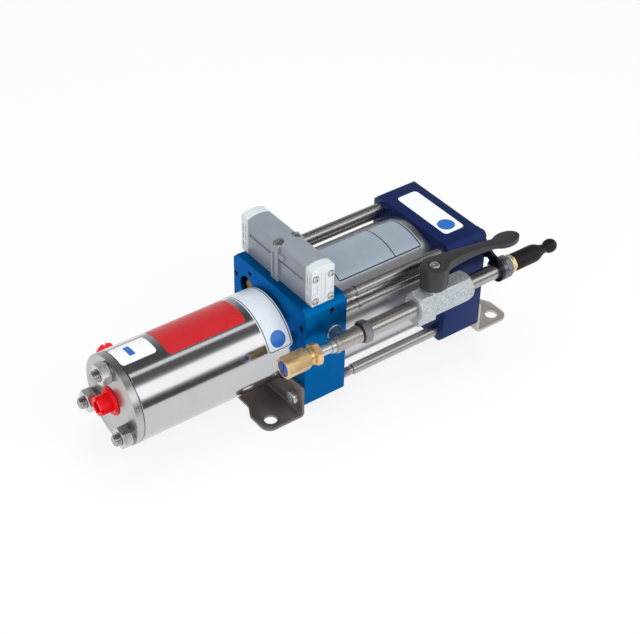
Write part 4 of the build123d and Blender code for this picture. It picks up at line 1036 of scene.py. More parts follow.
@dataclass
class DriveSection(SubAssembly):
    """The polished drive tube with the rods and tubes round it."""

    tube_inner: float = 44.0
    tube_edge: float = 0.4
    rod_r: float = 4.75
    rod_pitch: float = 1.25
    thread_len: float = 15.0
    head_len: float = 2.4

    def build(self) -> None:
        """Builds all pieces."""
        self.drive_tube()
        self.tie_rods()
        self.air_tubes()
        self.cap_screws()

    def drive_tube(self) -> None:
        """Turns the drive tube."""
        outer, inner, edge = radius_of("drive_tube"), self.tube_inner, self.tube_edge
        outline = shifted(BLOCK_REAR, [(0, inner), (0, outer - edge), (edge, outer)])
        outline += shifted(CAP_FRONT, [(-edge, outer), (0, outer - edge), (0, inner)])
        tube = turned("drive_tube_polished", outline, steps=160)
        self.dress(tube, SATIN_TUBE, "polished_stainless", ["drive_tube"])

    def tie_rods(self) -> None:
        """Turns one rod with its threaded end in view, and copies it to the four corners."""
        low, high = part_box("tie_rods")
        radius = self.rod_r
        reach_y = (high[1] - low[1]) / 2 / MM - radius
        reach_z = (high[2] - low[2]) / 2 / MM - radius
        start, shoulder = BLOCK_REAR - 0.01, BLOCK_REAR + self.thread_len
        outline = [(start, 0), *threaded(start, shoulder - 1.5, 4.0, self.rod_pitch, 0.45)]
        outline += shifted(shoulder, [(0, 3.6), (0, radius - 0.4), (0.4, radius)])
        outline += [(CAP_FRONT, radius), (CAP_FRONT, 0)]
        rods = [turned("tie_rod", outline, (0, reach_y, AXIS_Z + reach_z), steps=48)]
        for y, z in ((0, -2), (-2, 0), (-2, -2)):
            rods.append(copied(rods[0], "tie_rod_copy", (0, y * reach_y, z * reach_z)))
        self.dress(joined(rods), BRIGHT_BAR, "bright_steel", ["tie_rods"])

    def air_tubes(self) -> None:
        """Turns the two small tubes with their collars."""
        collar = [(0, 3.5), (0, 4.1), (0.4, 4.5), (2.1, 4.5), (2.5, 4.1), (2.5, 3.5)]
        outline = [(BLOCK_REAR, 0), (BLOCK_REAR, 3.5), *shifted(BLOCK_REAR + self.thread_len, collar)]
        outline += [(CAP_FRONT, 3.5), (CAP_FRONT, 0)]
        tubes = [turned("air_tube", outline, (0, y, z), steps=40) for y, z in AIR_TUBE_PLACES]
        self.dress(joined(tubes), BRIGHT_BAR, "bright_steel", ["air_tubes"])

    def cap_screws(self) -> None:
        """Makes the low heads of the four screws at the cap's rear, on what they clamp there."""
        seats = {(-40.0, -41.0): 2.4, (40.0, -41.0): 2.4, (-40.0, 41.0): 3.0, (40.0, 41.0): 0.0}
        heads = [
            socket_screw("cap_screw", 6, CAP_REAR + seat, 1, (0, y, AXIS_Z + z), self.head_len)
            for (y, z), seat in seats.items()
        ]
        self.dress(joined(heads), BLACKENED, "machined_steel", ["tie_rod_screws"])


@dataclass
class GasBarrel(SubAssembly):
    """The polished barrel with its head, studs, plugs and inlet adapter."""

    flange: float = 6.5
    seam: float = 0.5
    bore: float = 73.6
    adapter_hole: float = 26.4
    stud_r: float = 5.0
    stud_pitch: float = 1.5
    nut_across: float = 16.5
    nut_bore: float = 10.1
    nut_len: float = 8.5
    nut_turns: Triple = (12, 40, 25)
    washer_len: float = 1.5
    washer_radii: Point = (5.2, 8.7)
    circle: float = 30.0
    plug_across: float = 15.2

    def __post_init__(self) -> None:
        """Reads the barrel's places from the frame."""
        self.front = span("gas_head", Along.X)[0]
        self.radius = radius_of("barrel_jacket")
        self.inlet_x = middle("inlet_adapter", Along.X)
        self.inlet_end = span("inlet_adapter", Along.Y)[1]
        self.stud_tip = span("gas_studs", Along.X)[0]
        self.places = [
            (0.0, self.circle * math.cos(math.radians(a)), AXIS_Z + self.circle * math.sin(math.radians(a)))
            for a in (90, 210, 330)
        ]

    def build(self) -> None:
        """Builds all pieces."""
        self.head()
        self.jacket()
        self.studs()
        self.plugs()
        self.adapter()

    def head(self) -> None:
        """Turns the head's flange."""
        r = self.radius
        outline = shifted(self.front, [(0, 0), (0, r - 1.0), (0.25, r - 0.3), (0.9, r)])
        neck = [(-0.3, r), (0, r - 0.3), (0, r - 2.5), (2, r - 2.5), (2, 0)]
        flange = turned("head_flange", outline + shifted(self.front + self.flange, neck), steps=160)
        self.dress(flange, MACHINED_FACE, "machined_steel", ["gas_head"])

    def jacket(self) -> None:
        """Turns the jacket and cuts the adapter's hole."""
        r, inner = self.radius, self.bore / 2
        outline = shifted(self.front + self.flange + self.seam, [(0, inner), (0, r - 0.3), (0.3, r)])
        outline += shifted(BLOCK_FRONT, [(-0.3, r), (0, r - 0.3), (0, inner)])
        tube = turned("barrel_polished", outline, steps=192)
        place = (self.inlet_x, 0, AXIS_Z)
        hole = bar("adapter_hole", self.adapter_hole, 20, r + 5, place, Along.Y, 64)
        combine(tube, [hole], Meet.CUT)
        self.dress(tube, MIRROR_TUBE, "polished_stainless", ["barrel_jacket"])

    def studs(self) -> None:
        """Builds the three threaded studs with their nuts and washers."""
        front, tip = self.front, self.stud_tip
        end = front - self.washer_len
        thread = [(tip, 0), (tip, self.stud_r - 1.3)]
        thread += threaded(tip + 0.8, front + 1, self.stud_r, self.stud_pitch, 0.6)
        inner, outer = self.washer_radii
        ring = [(end, inner), (end, outer - 0.2), (end + 0.2, outer), (front, outer), (front, inner)]
        studs, nuts, washers = [], [], []
        for place, turn in zip(self.places, self.nut_turns):
            studs.append(turned("stud", [*thread, (front + 1, 0)], place, steps=40))
            start = end - self.nut_len
            nuts.append(hex_nut("stud_nut", self.nut_across, start, end, self.nut_bore, place, turn=turn))
            washers.append(turned("stud_washer", ring, place, steps=48))
        self.dress(joined(studs), STUD_STEEL, "machined_steel", ["gas_studs"])
        self.dress(joined(nuts), PLATED_STEEL, "machined_steel", ["gas_stud_nuts"])
        self.dress(joined(washers), NUT_STEEL, "dark_steel", ["gas_stud_washers"])

    def plug(self, name: str) -> Piece:
        """Builds a port plug that stands on the origin along +Z."""
        outline = [(0, 0), (0, 11.9), (0.3, 12.2), (1.1, 12.2), (1.4, 11.9), (1.4, 10.7), (1.7, 10.5)]
        flange = turned(name, [*outline, (2.3, 10.5), (2.6, 10.2), (2.6, 0)], ORIGIN, Along.Z, 72)
        head = hex_nut("plug_head", self.plug_across, 2.0, 13.0, 0, ORIGIN, Along.Z, 10, 0.2)
        recess = bar("plug_recess", 9.5, 7.5, 14, ORIGIN, Along.Z, 40)
        combine(head, [recess, *crossed(ORIGIN, Along.Z, (9, 1.0), 10.2, 14)], Meet.CUT)
        return joined([flange, head])

    def plugs(self) -> None:
        """Places the plugs of the gas outlet and of the gas inlet."""
        pattern = self.plug("plug_pattern")
        pair = [
            copied(pattern, name, place, Matrix.Rotation(math.radians(-90), 4, axis))
            for name, place, axis in (
                ("port_plugs_red", (self.front, 0, AXIS_Z), "Y"),
                ("side_plug", (self.inlet_x, self.inlet_end, AXIS_Z), "X"),
            )
        ]
        bpy.data.objects.remove(pattern, do_unlink=True)
        self.dress(joined(pair), RED_PLASTIC, "red_plastic", ["port_plugs"])

    def adapter(self) -> None:
        """Turns the collar of the inlet adapter."""
        seat, end = self.radius - 2, self.inlet_end
        outline = [(seat, 0), (seat, 12.7), (seat + 0.3, 13), (end - 0.5, 13), (end, 12.5), (end, 0)]
        piece = turned("inlet_collar", outline, (self.inlet_x, 0, AXIS_Z), Along.Y, 72)
        self.dress(piece, MACHINED, "machined_steel", ["inlet_adapter"])


@dataclass
class SpoolValve(SubAssembly):
    """The spool valve on top of the block."""

    crown: float = 2.4
    boss_half: float = 4.7
    boss_depth: float = 2.2
    boss_root: float = 3.0
    slot_depth: float = 0.9
    groove_rise: float = 20.5
    screw_inset: float = 2.0
    screw_seat: float = 2.4
    cap_screw_x: float = 7.35
    cap_screw_rise: Point = (4.8, 26.0)

    def __post_init__(self) -> None:
        """Reads the valve's places from the frame."""
        self.x0, self.x1 = span("valve_end_caps", Along.X)
        self.low, top = span("valve_body", Along.Z)
        self.high = top - self.crown
        self.near, self.far = span("valve_body", Along.Y)
        self.near_end, self.far_end = span("valve_end_caps", Along.Y)
        self.mid_x = (self.x0 + self.x1) / 2
        self.cap_screw_places = [
            (x, 0, self.low + rise)
            for x in (self.mid_x - self.cap_screw_x, self.mid_x + self.cap_screw_x)
            for rise in self.cap_screw_rise
        ]

    def build(self) -> None:
        """Builds all pieces."""
        self.body()
        self.end_caps()
        self.screws()
        self.cap_screws()

    def section(self) -> list[Point]:
        """Gives the valve's section with its crowned top."""
        points = [(self.x0, self.low), (self.x1, self.low), (self.x1, self.high)]
        steps = 10
        for step in range(1, steps):
            share = step / steps
            rise = self.crown * (1 - (2 * share - 1) ** 2)
            points.append((self.x1 + (self.x0 - self.x1) * share, self.high + rise))
        return [*points, (self.x0, self.high)]

    def body(self) -> None:
        """Builds the grooved body with its two screw bosses."""
        piece = soften(extruded("valve_middle", self.section(), Along.Y, self.near, self.far), 0.5, 3)
        mid, half = (self.near + self.far) / 2, (self.far - self.near) / 2 - 2.5
        z, top = self.low + self.groove_rise, self.high - 0.6
        tools = [
            block("groove", (x - 1.0, mid - half, z - 1.5), (x + 1.0, mid + half, z + 1.5))
            for x in (self.x0, self.x1)
        ]
        combine(piece, tools, Meet.CUT)
        added = [
            block("boss", (low, -self.boss_half, self.low), (high, self.boss_half, top))
            for low, high in (
                (self.x0 - self.boss_depth, self.x0 + self.boss_root),
                (self.x1 - self.boss_root, self.x1 + self.boss_depth),
            )
        ]
        added.append(block("lug", (self.x0 - 1.6, -self.boss_half - 6.5, z + 2.5), (self.x0 + 3, 0, z + 6.5)))
        combine(piece, added, Meet.ADD)
        tools = []
        for x, side in ((self.x0 + self.screw_inset, -1), (self.x1 - self.screw_inset, 1)):
            for name, wide, low, steps in (
                ("screw_way", 4.6, self.low - 1, 32),
                ("screw_seat", 8.9, self.high - self.screw_seat, 40),
            ):
                tools.append(bar(name, wide, low, self.high + 5, (x, 0, 0), Along.Z, steps))
            face = x + side * (self.screw_inset + self.boss_depth)
            low, high = sorted((face - side * self.slot_depth, face + side))
            tools.append(block("slot", (low, -2.3, self.low + 5), (high, 2.3, self.low + 26)))
        combine(piece, tools, Meet.CUT)
        self.dress(piece, GREY_CASTING, "valve_grey", ["valve_body"])

    def end_caps(self) -> None:
        """Builds the pale end caps, with moulded panels on their faces and slots on one side."""
        start = self.near_end
        cap = soften(extruded("valve_cap", self.section(), Along.Y, start, self.near), 0.7, 3)
        places = self.cap_screw_places
        tools = [bar("cap_seat", 6.4, start - 1, start + 0.6, place, Along.Y, 32) for place in places]
        side = (2.0, 11.0, 20.0)
        for off, half, z0, z1 in ((0, 2.2, 3.0, 29.0), (-self.cap_screw_x, *side), (self.cap_screw_x, *side)):
            x = self.mid_x + off
            low, high = (x - half, start - 1, self.low + z0), (x + half, start + 0.7, self.low + z1)
            tools.append(block("panel", low, high))
        for rise in (4.0, 12.0, 20.0):
            z = self.low + rise
            for y in (start + 2.2, start + 5.6):
                tools.append(block("slot", (self.x0 - 1, y, z), (self.x0 + 0.7, y + 1.4, z + 6)))
        combine(cap, tools, Meet.CUT)
        mirror = Matrix.Scale(-1, 4, (0, 1, 0))
        caps = [cap, copied(cap, "valve_cap_far", (0, self.near_end + self.far_end, 0), mirror)]
        self.dress(joined(caps), PALE_CASTING, "valve_light", ["valve_end_caps"])

    def screws(self) -> None:
        """Builds the two pan head screws of the valve, with their cross slots."""
        low, seat = self.low + 0.5, self.high - self.screw_seat
        dome = [(0, 2.0), (0, 3.9), (0.4, 4.2), (1.4, 4.1), (2.3, 3.4), (2.7, 2.0), (2.8, 0)]
        outline = [(low, 0), (low, 2.0), *shifted(seat, dome)]
        heads = []
        for x in (self.x0 + self.screw_inset, self.x1 - self.screw_inset):
            head = turned("valve_screw", outline, (x, 0, 0), Along.Z, 40)
            slots = crossed((x, 0, 0), Along.Z, (2.4, 0.4), seat + 1.2, seat + 4)
            heads.append(combine(head, slots, Meet.CUT))
        self.dress(joined(heads), PLATED_STEEL, "machined_steel", ["valve_screws"])

    def cap_screws(self) -> None:
        """Builds the eight small screws of the end caps."""
        heads = []
        for outer, side in ((self.near_end, -1), (self.far_end, 1)):
            seat = outer - side * 0.6
            outline = [(seat, 0), (seat, 2.8), (seat + side * 1.2, 2.9), (seat + side * 2.0, 2.2)]
            outline.append((seat + side * 2.3, 0))
            for place in self.cap_screw_places:
                head = turned("cap_screw", outline, place, Along.Y, 32)
                slots = crossed(place, Along.Y, (1.6, 0.3), *sorted((seat + side * 1.0, seat + side * 3)))
                heads.append(combine(head, slots, Meet.CUT))
        self.dress(joined(heads), PLATED_STEEL, "machined_steel", ["valve_cap_screws"])


@dataclass
class Feet(SubAssembly):
    """The two bent sheet feet and the screws of the front one."""

    sheet: float = 2.4
    width: float = 99.2
    reach: float = 37.0
    height: float = 31.1
    arc_r: float = 41.2
    hole: float = 11.0
    hole_x: float = 118.75
    hole_y: float = 39.0
    notch_depth: float = 5.6
    notch_mouth: float = 25.6
    notch_floor: float = 15.2
    screw_hole: float = 6.4
    screw_places: tuple[Triple, ...] = ((0, -40.0, 16.0), (0, 40.0, 16.0))

    def build(self) -> None:
        """Builds all pieces."""
        rear = self.foot()
        front = copied(rear, "front_foot_sheet", matrix=Matrix.Scale(-1, 4, (1, 0, 0)))
        self.dress(rear, SHEET, "stainless_sheet", ["rear_foot"])
        # Painted shade: the front foot takes the darker copy of the sheet, for the barrel's shadow over it.
        self.dress(front, SHADED_SHEET, "stainless_sheet", ["front_foot"])
        seat = BLOCK_FRONT - self.sheet
        heads = [socket_screw("foot_screw", 7, seat, -1, place, 5) for place in self.screw_places]
        self.dress(joined(heads), PLATED_STEEL, "machined_steel", ["foot_screws"])

    def foot(self) -> Piece:
        """Bends and cuts the rear foot.

        Returns:
            The foot, at its place.
        """
        x, t, half, top = CAP_REAR, self.sheet, self.width / 2, self.height
        end, step = x + self.reach, x + (self.reach - self.notch_depth)
        mouth, floor = self.notch_mouth, self.notch_floor
        side = [(x, 0, 3.5), (end, 0, 0), (end, t, 0), (x + t, t, 1.1), (x + t, top, 0), (x, top, 0)]
        piece = extruded("rear_foot_sheet", rounded(side, 8), Along.Y, -half, half)
        plan = [(x - 1, -half, 0), (end, -half, 8.5), (end, -mouth, 1.5), (step, -floor, 1.5)]
        plan += [(step, floor, 1.5), (end, mouth, 1.5), (end, half, 8.5), (x - 1, half, 0)]
        keep = [extruded("plan", rounded(plan, 8), Along.Z, -1, top + 1)]
        reach_y = math.sqrt(self.arc_r**2 - (AXIS_Z - top) ** 2)
        first, last = (math.atan2(top - AXIS_Z, y) for y in (-reach_y, reach_y))
        upright = [(-half, -1, 0), (-half, top, 3.5), (-reach_y, top, 2.5)]
        for index in range(1, 24):
            angle = first + (last - first) * index / 24
            upright.append((self.arc_r * math.cos(angle), AXIS_Z + self.arc_r * math.sin(angle), 0.0))
        upright += [(reach_y, top, 2.5), (half, top, 3.5), (half, -1, 0)]
        keep.append(extruded("upright", rounded(upright, 6), Along.X, x - 1, end + 1))
        combine(piece, keep, Meet.KEEP)
        slab = [(self.hole_x, y, 0) for y in (-self.hole_y, self.hole_y)]
        holes = [bar("hole", self.hole, -1, t + 1, place, Along.Z, 56) for place in slab]
        holes += [bar("hole", self.screw_hole, x - 1, x + t + 1, place) for place in self.screw_places]
        combine(piece, holes, Meet.CUT)
        return soften(piece, 0.25, 2, 40)


@dataclass
class AirLine(SubAssembly):
    """The line along the near side: relief valve, tee, pipes, ball valve, coupling and cap."""

    relief_len: float = 22.7
    relief_collar: float = 11.0
    tee_shift: float = -2.1
    branch_setback: float = 12.7
    seal_len: float = 1.1
    front_pipe: float = 14.0
    rear_pipe: float = 13.3
    body_across: float = 23.5
    cap_shift: float = -4.4
    flange_len: float = 4.6
    lock_len: float = 11.0
    grip_len: float = 7.0
    grip_r: float = 6.1
    grip_turn: float = 142.0
    nut_across: float = 17.0
    relief_across: float = 16.6
    plug_across: float = 14.6
    bracket_ring: float = 20.0

    def __post_init__(self) -> None:
        """Reads the line's places from the frame."""
        self.relief_front = span("relief_body", Along.X)[0]
        self.tee = tuple(place + self.tee_shift for place in span("air_tee", Along.X))
        self.union_end = span("union_nut", Along.X)[1] + self.tee_shift
        self.valve = (span("ball_valve_body", Along.X)[0], span("ball_valve_end", Along.X)[1])
        self.seam = span("ball_valve_body", Along.X)[1]
        self.pivot = middle("ball_stem", Along.X)
        self.nut = span("lock_nut", Along.X)[0]
        self.hex_end = span("dust_cap", Along.X)[0] - 0.2 + self.cap_shift
        self.cap_end = span("dust_cap", Along.X)[1]

    def build(self) -> None:
        """Builds all pieces."""
        self.relief_valve()
        self.tee_piece()
        self.union()
        self.pipes()
        self.ball_valve()
        self.bracket()
        self.coupling()
        self.dust_cap()

    def relief_valve(self) -> None:
        """Builds the brass relief valve with its blue adjuster and its nipple."""
        front = self.relief_front
        neck = front + self.relief_len
        collar = neck + self.relief_collar
        across = self.relief_across
        long_hex = hex_nut("relief_hexagon", across, front, neck, 13.4, LINE, turn=30, rounding=0.9)
        vent = bar("vent", 2.2, LINE_Z + 4, LINE_Z + 12, (front + 13.5, LINE_Y, 0), Along.Z, 24)
        combine(long_hex, [vent], Meet.CUT)
        floor = bar("relief_floor", 13.6, front + 1.6, neck - 0.5, LINE)
        outline = [(-0.6, 0), (-0.6, 7.4), (0, 7.4), (0.4, 6.4), (1.2, 6.4), (1.5, 7.0), (3.3, 7.0)]
        outline += [(3.6, 6.2), (5.4, 6.2), (5.4, 0)]
        waist = turned("relief_neck", shifted(neck, outline), LINE)
        short_hex = hex_nut("relief_collar", self.nut_across, neck + 5.2, collar, 0, LINE, rounding=0.6)
        self.dress(joined([long_hex, floor, waist, short_hex]), BRASS, "brass", ["relief_body"])
        face = front + 0.7
        outline = [(0, 0), (0, 5.6), (0.35, 6.3), (2.5, 6.3), (2.5, 0)]
        disc = turned("relief_disc_blue", shifted(face, outline), LINE)
        slot = block("slot", (face - 1, LINE_Y - 0.6, LINE_Z - 4), (face + 0.7, LINE_Y + 0.6, LINE_Z + 4))
        combine(disc, [slot], Meet.CUT)
        self.dress(disc, BLUE_PLASTIC, "blue_plastic", ["relief_adjuster"])
        outline = [(collar - 1, 0), (collar - 1, 4.6)]
        outline += shifted(self.tee[0] + 1, [(-5, 4.6), (-5, 5.5), (-4.7, 5.8), (0, 5.8), (0, 0)])
        nipple = turned("relief_nipple_bright", outline, LINE)
        self.dress(nipple, PLATED_STEEL, "bright_steel", ["relief_nipple"])

    def tee_piece(self) -> None:
        """Builds the tee with its end collars and its branch to the block."""
        start, end = self.tee
        run = shifted(start, [(0, 4.3), (0, 6.8), (0.5, 7.3), (3.2, 7.3), (4.0, 6.8)])
        run += shifted(end, [(-4.2, 6.8), (-3.6, 7.3), (-0.5, 7.3), (0, 6.8), (0, 4.3)])
        body = turned("tee_run", run, LINE)
        outline = [(LINE_Y + 3, 0), (LINE_Y + 3, 6.3)]
        outline += shifted(-BODY_HALF, [(-1.6, 6.1), (-1.2, 6.6), (0, 6.6), (0, 0)])
        place = (BLOCK_REAR - self.branch_setback, 0, LINE_Z)
        branch = turned("tee_branch", outline, place, Along.Y)
        self.dress(joined([body, branch]), NICKEL, "nickel", ["air_tee"])

    def union(self) -> None:
        """Builds the nut between the tee and the first pipe, with its dark seal."""
        start, end = self.tee[1], self.tee[1] + self.seal_len
        outline = [(start, 5), (start, 7.7), (start + 0.2, 8), (start + 0.8, 8), (end, 7.7), (end, 5)]
        self.dress(turned("union_seal", outline, LINE), SEAL_RUBBER, "seal")
        nut = hex_nut("union_nut_hexagon", self.nut_across, end, self.union_end, 14.1, LINE, turn=8)
        self.dress(nut, NUT_STEEL, "nickel", ["union_nut"])

    def pipes(self) -> None:
        """Turns the two smooth pipes."""
        front = bar("pipe", self.front_pipe, self.union_end - 3, self.valve[0] + 3, LINE, steps=72)
        rear_end = self.nut + self.lock_len + 1
        rear = bar("pipe", self.rear_pipe, self.valve[1] - 3, rear_end, LINE, steps=72)
        self.dress(joined([front, rear]), BRIGHT_BAR, "bright_steel", ["line_pipes"])

    def ball_valve(self) -> None:
        """Builds the two halves of the ball valve, with the pad below and the stem's collar."""
        front, end = self.valve
        body = self.hexagon_half("ball_valve_front_half", front, self.seam + 0.01, True)
        low, high = (front + 0.6, LINE_Y - 6.3, LINE_Z - 17), (front + 19.1, LINE_Y + 6.4, LINE_Z - 9.3)
        pad = block("pad", low, high)
        bevel_edges(pad, lambda one, two: one.z < LINE_Z - 16 and two.z < LINE_Z - 16, 1.5, 3)
        combine(body, [pad], Meet.ADD)
        bore = bar("bore", self.front_pipe + 0.2, front - 1, front + 6, LINE, steps=64)
        combine(body, [bore], Meet.CUT)
        outline = shifted(LINE_Z, [(11, 0), (11, 8), (14.3, 8), (14.9, 7.4), (14.9, 0)])
        collar = turned("stem_collar", outline, (self.pivot, LINE_Y, 0), Along.Z)
        self.dress(joined([body, collar]), FORGED, "zinc_body", ["ball_valve_body"])
        rear = self.hexagon_half("ball_valve_rear_half", self.seam + 0.2, end, False)
        bore = bar("bore", self.rear_pipe + 0.2, end - 6, end + 1, LINE, steps=64)
        combine(rear, [bore], Meet.CUT)
        self.dress(rear, FORGED, "zinc_body", ["ball_valve_end"])

    def hexagon_half(self, name: str, start: float, end: float, front: bool) -> Piece:
        """Cuts a hexagon bar with one well rounded end, the outer one.

        Args:
            name: The name of the new piece.
            start: Where it starts.
            end: Where it ends.
            front: Whether its start is the outer end.

        Returns:
            The new piece.
        """
        corner = self.body_across / math.sqrt(3)
        ends = [(start - 1, 0), (start - 1, corner), (end + 1, corner), (end + 1, 0)]
        hexagon = soften(turned(name, ends, LINE, Along.X, 6, 30), 0.8, 3)
        flat, most = self.body_across / 2 - 1.0, corner + 0.05
        outer = [(0.0, flat), (0.7, flat + 0.9), (2.0, flat + 1.9), (3.6, most)]
        if front:
            profile = [(start, 0), *shifted(start, outer), (end, most), (end, 0)]
        else:
            profile = [(start, 0), (start, most), *((end - d, r) for d, r in reversed(outer)), (end, 0)]
        return combine(hexagon, [turned("envelope", profile, LINE, Along.X, 128)], Meet.KEEP)

    def bracket(self) -> None:
        """Cuts the line's bracket plate with its ring, and adds the lock nut."""
        start, end = CAP_REAR, span("line_bracket", Along.X)[1]
        outline = [(-33, 104.5, 3), (-33, 82, 3), (-50, 82, 2), (-54, 84, 2), (LINE_Y + 4, LINE_Z, 0)]
        outline += [(LINE_Y - 5, 84.5, 0), (-69, 85, 0), (-63.6, 88.5, 3), (-59, 89.4, 2)]
        outline += [(-53, 92.5, 2), (-41.5, 104.5, 3)]
        plate = extruded("line_bracket_plate", rounded(outline, 4), Along.X, start, end)
        soften(plate, 0.3, 2, 40)
        ring = bar("ring", self.bracket_ring, start + 0.06, end - 0.06, LINE, steps=80)
        combine(plate, [ring], Meet.ADD)
        combine(plate, [bar("ring_bore", 13.2, start - 1, end + 1, LINE, steps=64)], Meet.CUT)
        self.dress(plate, BLACKENED, "dark_steel", ["line_bracket"])
        start = self.nut
        rim = start + self.flange_len
        outline = [(start, 6.8), (start, 9.8), (start + 0.2, 10), (rim - 0.6, 10), (rim, 9.4), (rim, 6.8)]
        flange = turned("lock_flange", outline, LINE, steps=80)
        across, end = self.nut_across, start + self.lock_len
        nut = hex_nut("lock_nut_grey", across, rim - 0.3, end, 13.4, LINE, turn=14, rounding=0.6)
        self.dress(joined([nut, flange]), LOCK_STEEL, "dark_steel", ["lock_nut"])

    def coupling(self) -> None:
        """Builds the tape, the brass hexagon and the plug inside the cap."""
        tape, rear = self.nut + self.lock_len, self.hex_end
        front = rear - 3.0
        outline = [(tape, 0), (tape, 6.9), (tape + 0.4, 7.6), (front - 0.3, 7.4), (front, 6.9), (front, 0)]
        self.dress(turned("thread_tape", outline, LINE), TAPE, "white_polymer")
        hexagon = hex_nut("coupling_hexagon", self.plug_across, front, rear, 0, LINE, turn=18)
        outline = [(-0.5, 0), (-0.5, 6), (5, 6), (6.5, 5), (9, 5), (10.5, 6), (13, 6), (16, 4.6)]
        outline += [(16, 2.2), (4, 2.2), (4, 0)]
        nose = turned("coupling_nose", shifted(rear, outline), LINE)
        self.dress(joined([hexagon, nose]), BRASS, "brass", ["coupling_plug"])

    def dust_cap(self) -> None:
        """Turns the hollow rubber cap with its waist and its round grip."""
        start, end = self.hex_end + 0.2, self.cap_end
        skirt = [(0, 6.05), (0, 7.4), (0.4, 7.75), (14, 7.8), (22, 7.8), (24.5, 7.6), (27, 6.9), (30, 5.5)]
        outline = shifted(self.hex_end + 18, [(0, 0.0), (0, 6.05)])
        outline += shifted(start, [*skirt, (32.5, 4.5), (34.5, 4.0), (36, 3.9)])
        centre, steps = end - self.grip_len, 16
        for index in range(steps):
            angle = math.radians(self.grip_turn * (1 - index / steps))
            outline.append((centre + self.grip_len * math.cos(angle), self.grip_r * math.sin(angle)))
        cap = turned("dust_cap_rubber", [*outline, (end, 0.0)], LINE, steps=72)
        self.dress(cap, RUBBER, "black_rubber", ["dust_cap"], "rubber_cap", 50)


@dataclass
class Handle(SubAssembly):
    """The plastic lever of the ball valve and its screw."""

    hub_r: float = 11.2
    lean: float = 2.5
    root_thick: float = 9.0
    arm_thick: float = 5.8
    paddle_thick: float = 4.6
    reach: float = 85.0
    paddle_len: float = 26.0
    paddle_width: float = 16.0
    hub_from: float = 75.0
    hub_to: float = 318.0
    paddle_turn: float = 142.0
    screw_depth: float = 1.5

    def __post_init__(self) -> None:
        """Reads the lever's places from the frame."""
        self.pivot = (middle("ball_stem", Along.X), LINE_Y, 0)
        self.low, self.top = span("valve_lever", Along.Z)

    def build(self) -> None:
        """Builds all pieces."""
        self.lever()
        self.screw()

    def plan(self) -> list[Point]:
        """Gives the lever's outline from above: hub, tapered arm and oval paddle."""
        points: list[Point] = []
        for index in range(41):
            angle = math.radians(self.hub_from + (self.hub_to - self.hub_from) * index / 40)
            points.append((self.hub_r * math.cos(angle), self.hub_r * math.sin(angle)))
        points += [(9.6, -6.6), (12.6, -4.4), (16.5, -3.0), (24, -2.0), (34, -1.7), (43, -2.2), (51, -3.3)]
        points += [(57, -4.5), (59.5, -5.3)]
        half = self.paddle_len / 2
        centre_x, centre_y = self.reach - half, -1.6
        for index in range(33):
            angle = math.radians(self.paddle_turn * (index / 16 - 1))
            across = self.paddle_width / 2 * math.sin(angle)
            points.append((centre_x + half * math.cos(angle), centre_y + across))
        return points + [(59.5, 3.2), (55, 4.3), (48, 5.2), (38, 6.6), (26, 8.2), (14, 9.7), (8, 10.4)]

    def lever(self) -> None:
        """Cuts the lever's outline to its side view, and turns it to its lean."""
        low, top = self.low, self.top
        lever = extruded("lever_black", self.plan(), Along.Z, low, top)
        side = [(-13, low - 1), (10.8, low - 1), (12.2, top - self.root_thick), (46, top - self.arm_thick)]
        side += [(60, top - self.paddle_thick), (88, top - self.paddle_thick), (88, top + 1), (-13, top + 1)]
        combine(lever, [extruded("side", side, Along.Y, -20, 20)], Meet.KEEP)
        soften(lever, 1.0, 3, 40)
        seat = bar("screw_seat", 10.4, top - self.screw_depth, top + 1, ORIGIN, Along.Z, 64)
        combine(lever, [seat], Meet.CUT)
        turn = Matrix.Rotation(math.radians(-self.lean), 4, "Z")
        lever.data.transform(Matrix.Translation(Vector(self.pivot) * MM) @ turn)
        self.dress(lever, BLACK_PLASTIC, "black_plastic", ["valve_lever"], "handle")

    def screw(self) -> None:
        """Builds the domed screw with its hexagon socket."""
        seat = self.top - self.screw_depth
        outline = [(0, 0), (0, 4.2), (0.4, 4.5), (1.4, 4.3), (2.2, 3.4), (2.6, 0)]
        head = turned("lever_screw_head", shifted(seat, outline), self.pivot, Along.Z)
        outline = shifted(seat, [(0.9, 0), (0.9, 2.0), (4, 2.0), (4, 0)])
        combine(head, [turned("socket", outline, self.pivot, Along.Z, 6)], Meet.CUT)
        self.dress(soften(head, 0.12, 1), PLATED_STEEL, "machined_steel", ["lever_screw"], "handle")


@dataclass
class Film:
    """One film on a round body or on a flat face.

    Attributes:
        name: The piece's name.
        start: Where it starts along X.
        end: Where it ends along X.
        low: Its lowest arc length, or Y on a flat face.
        high: Its highest one.
        corner: The radius of its corners.
        finish: What is printed on it.
    """

    name: str
    start: float
    end: float
    low: float
    high: float
    corner: float
    finish: PrintedFilm


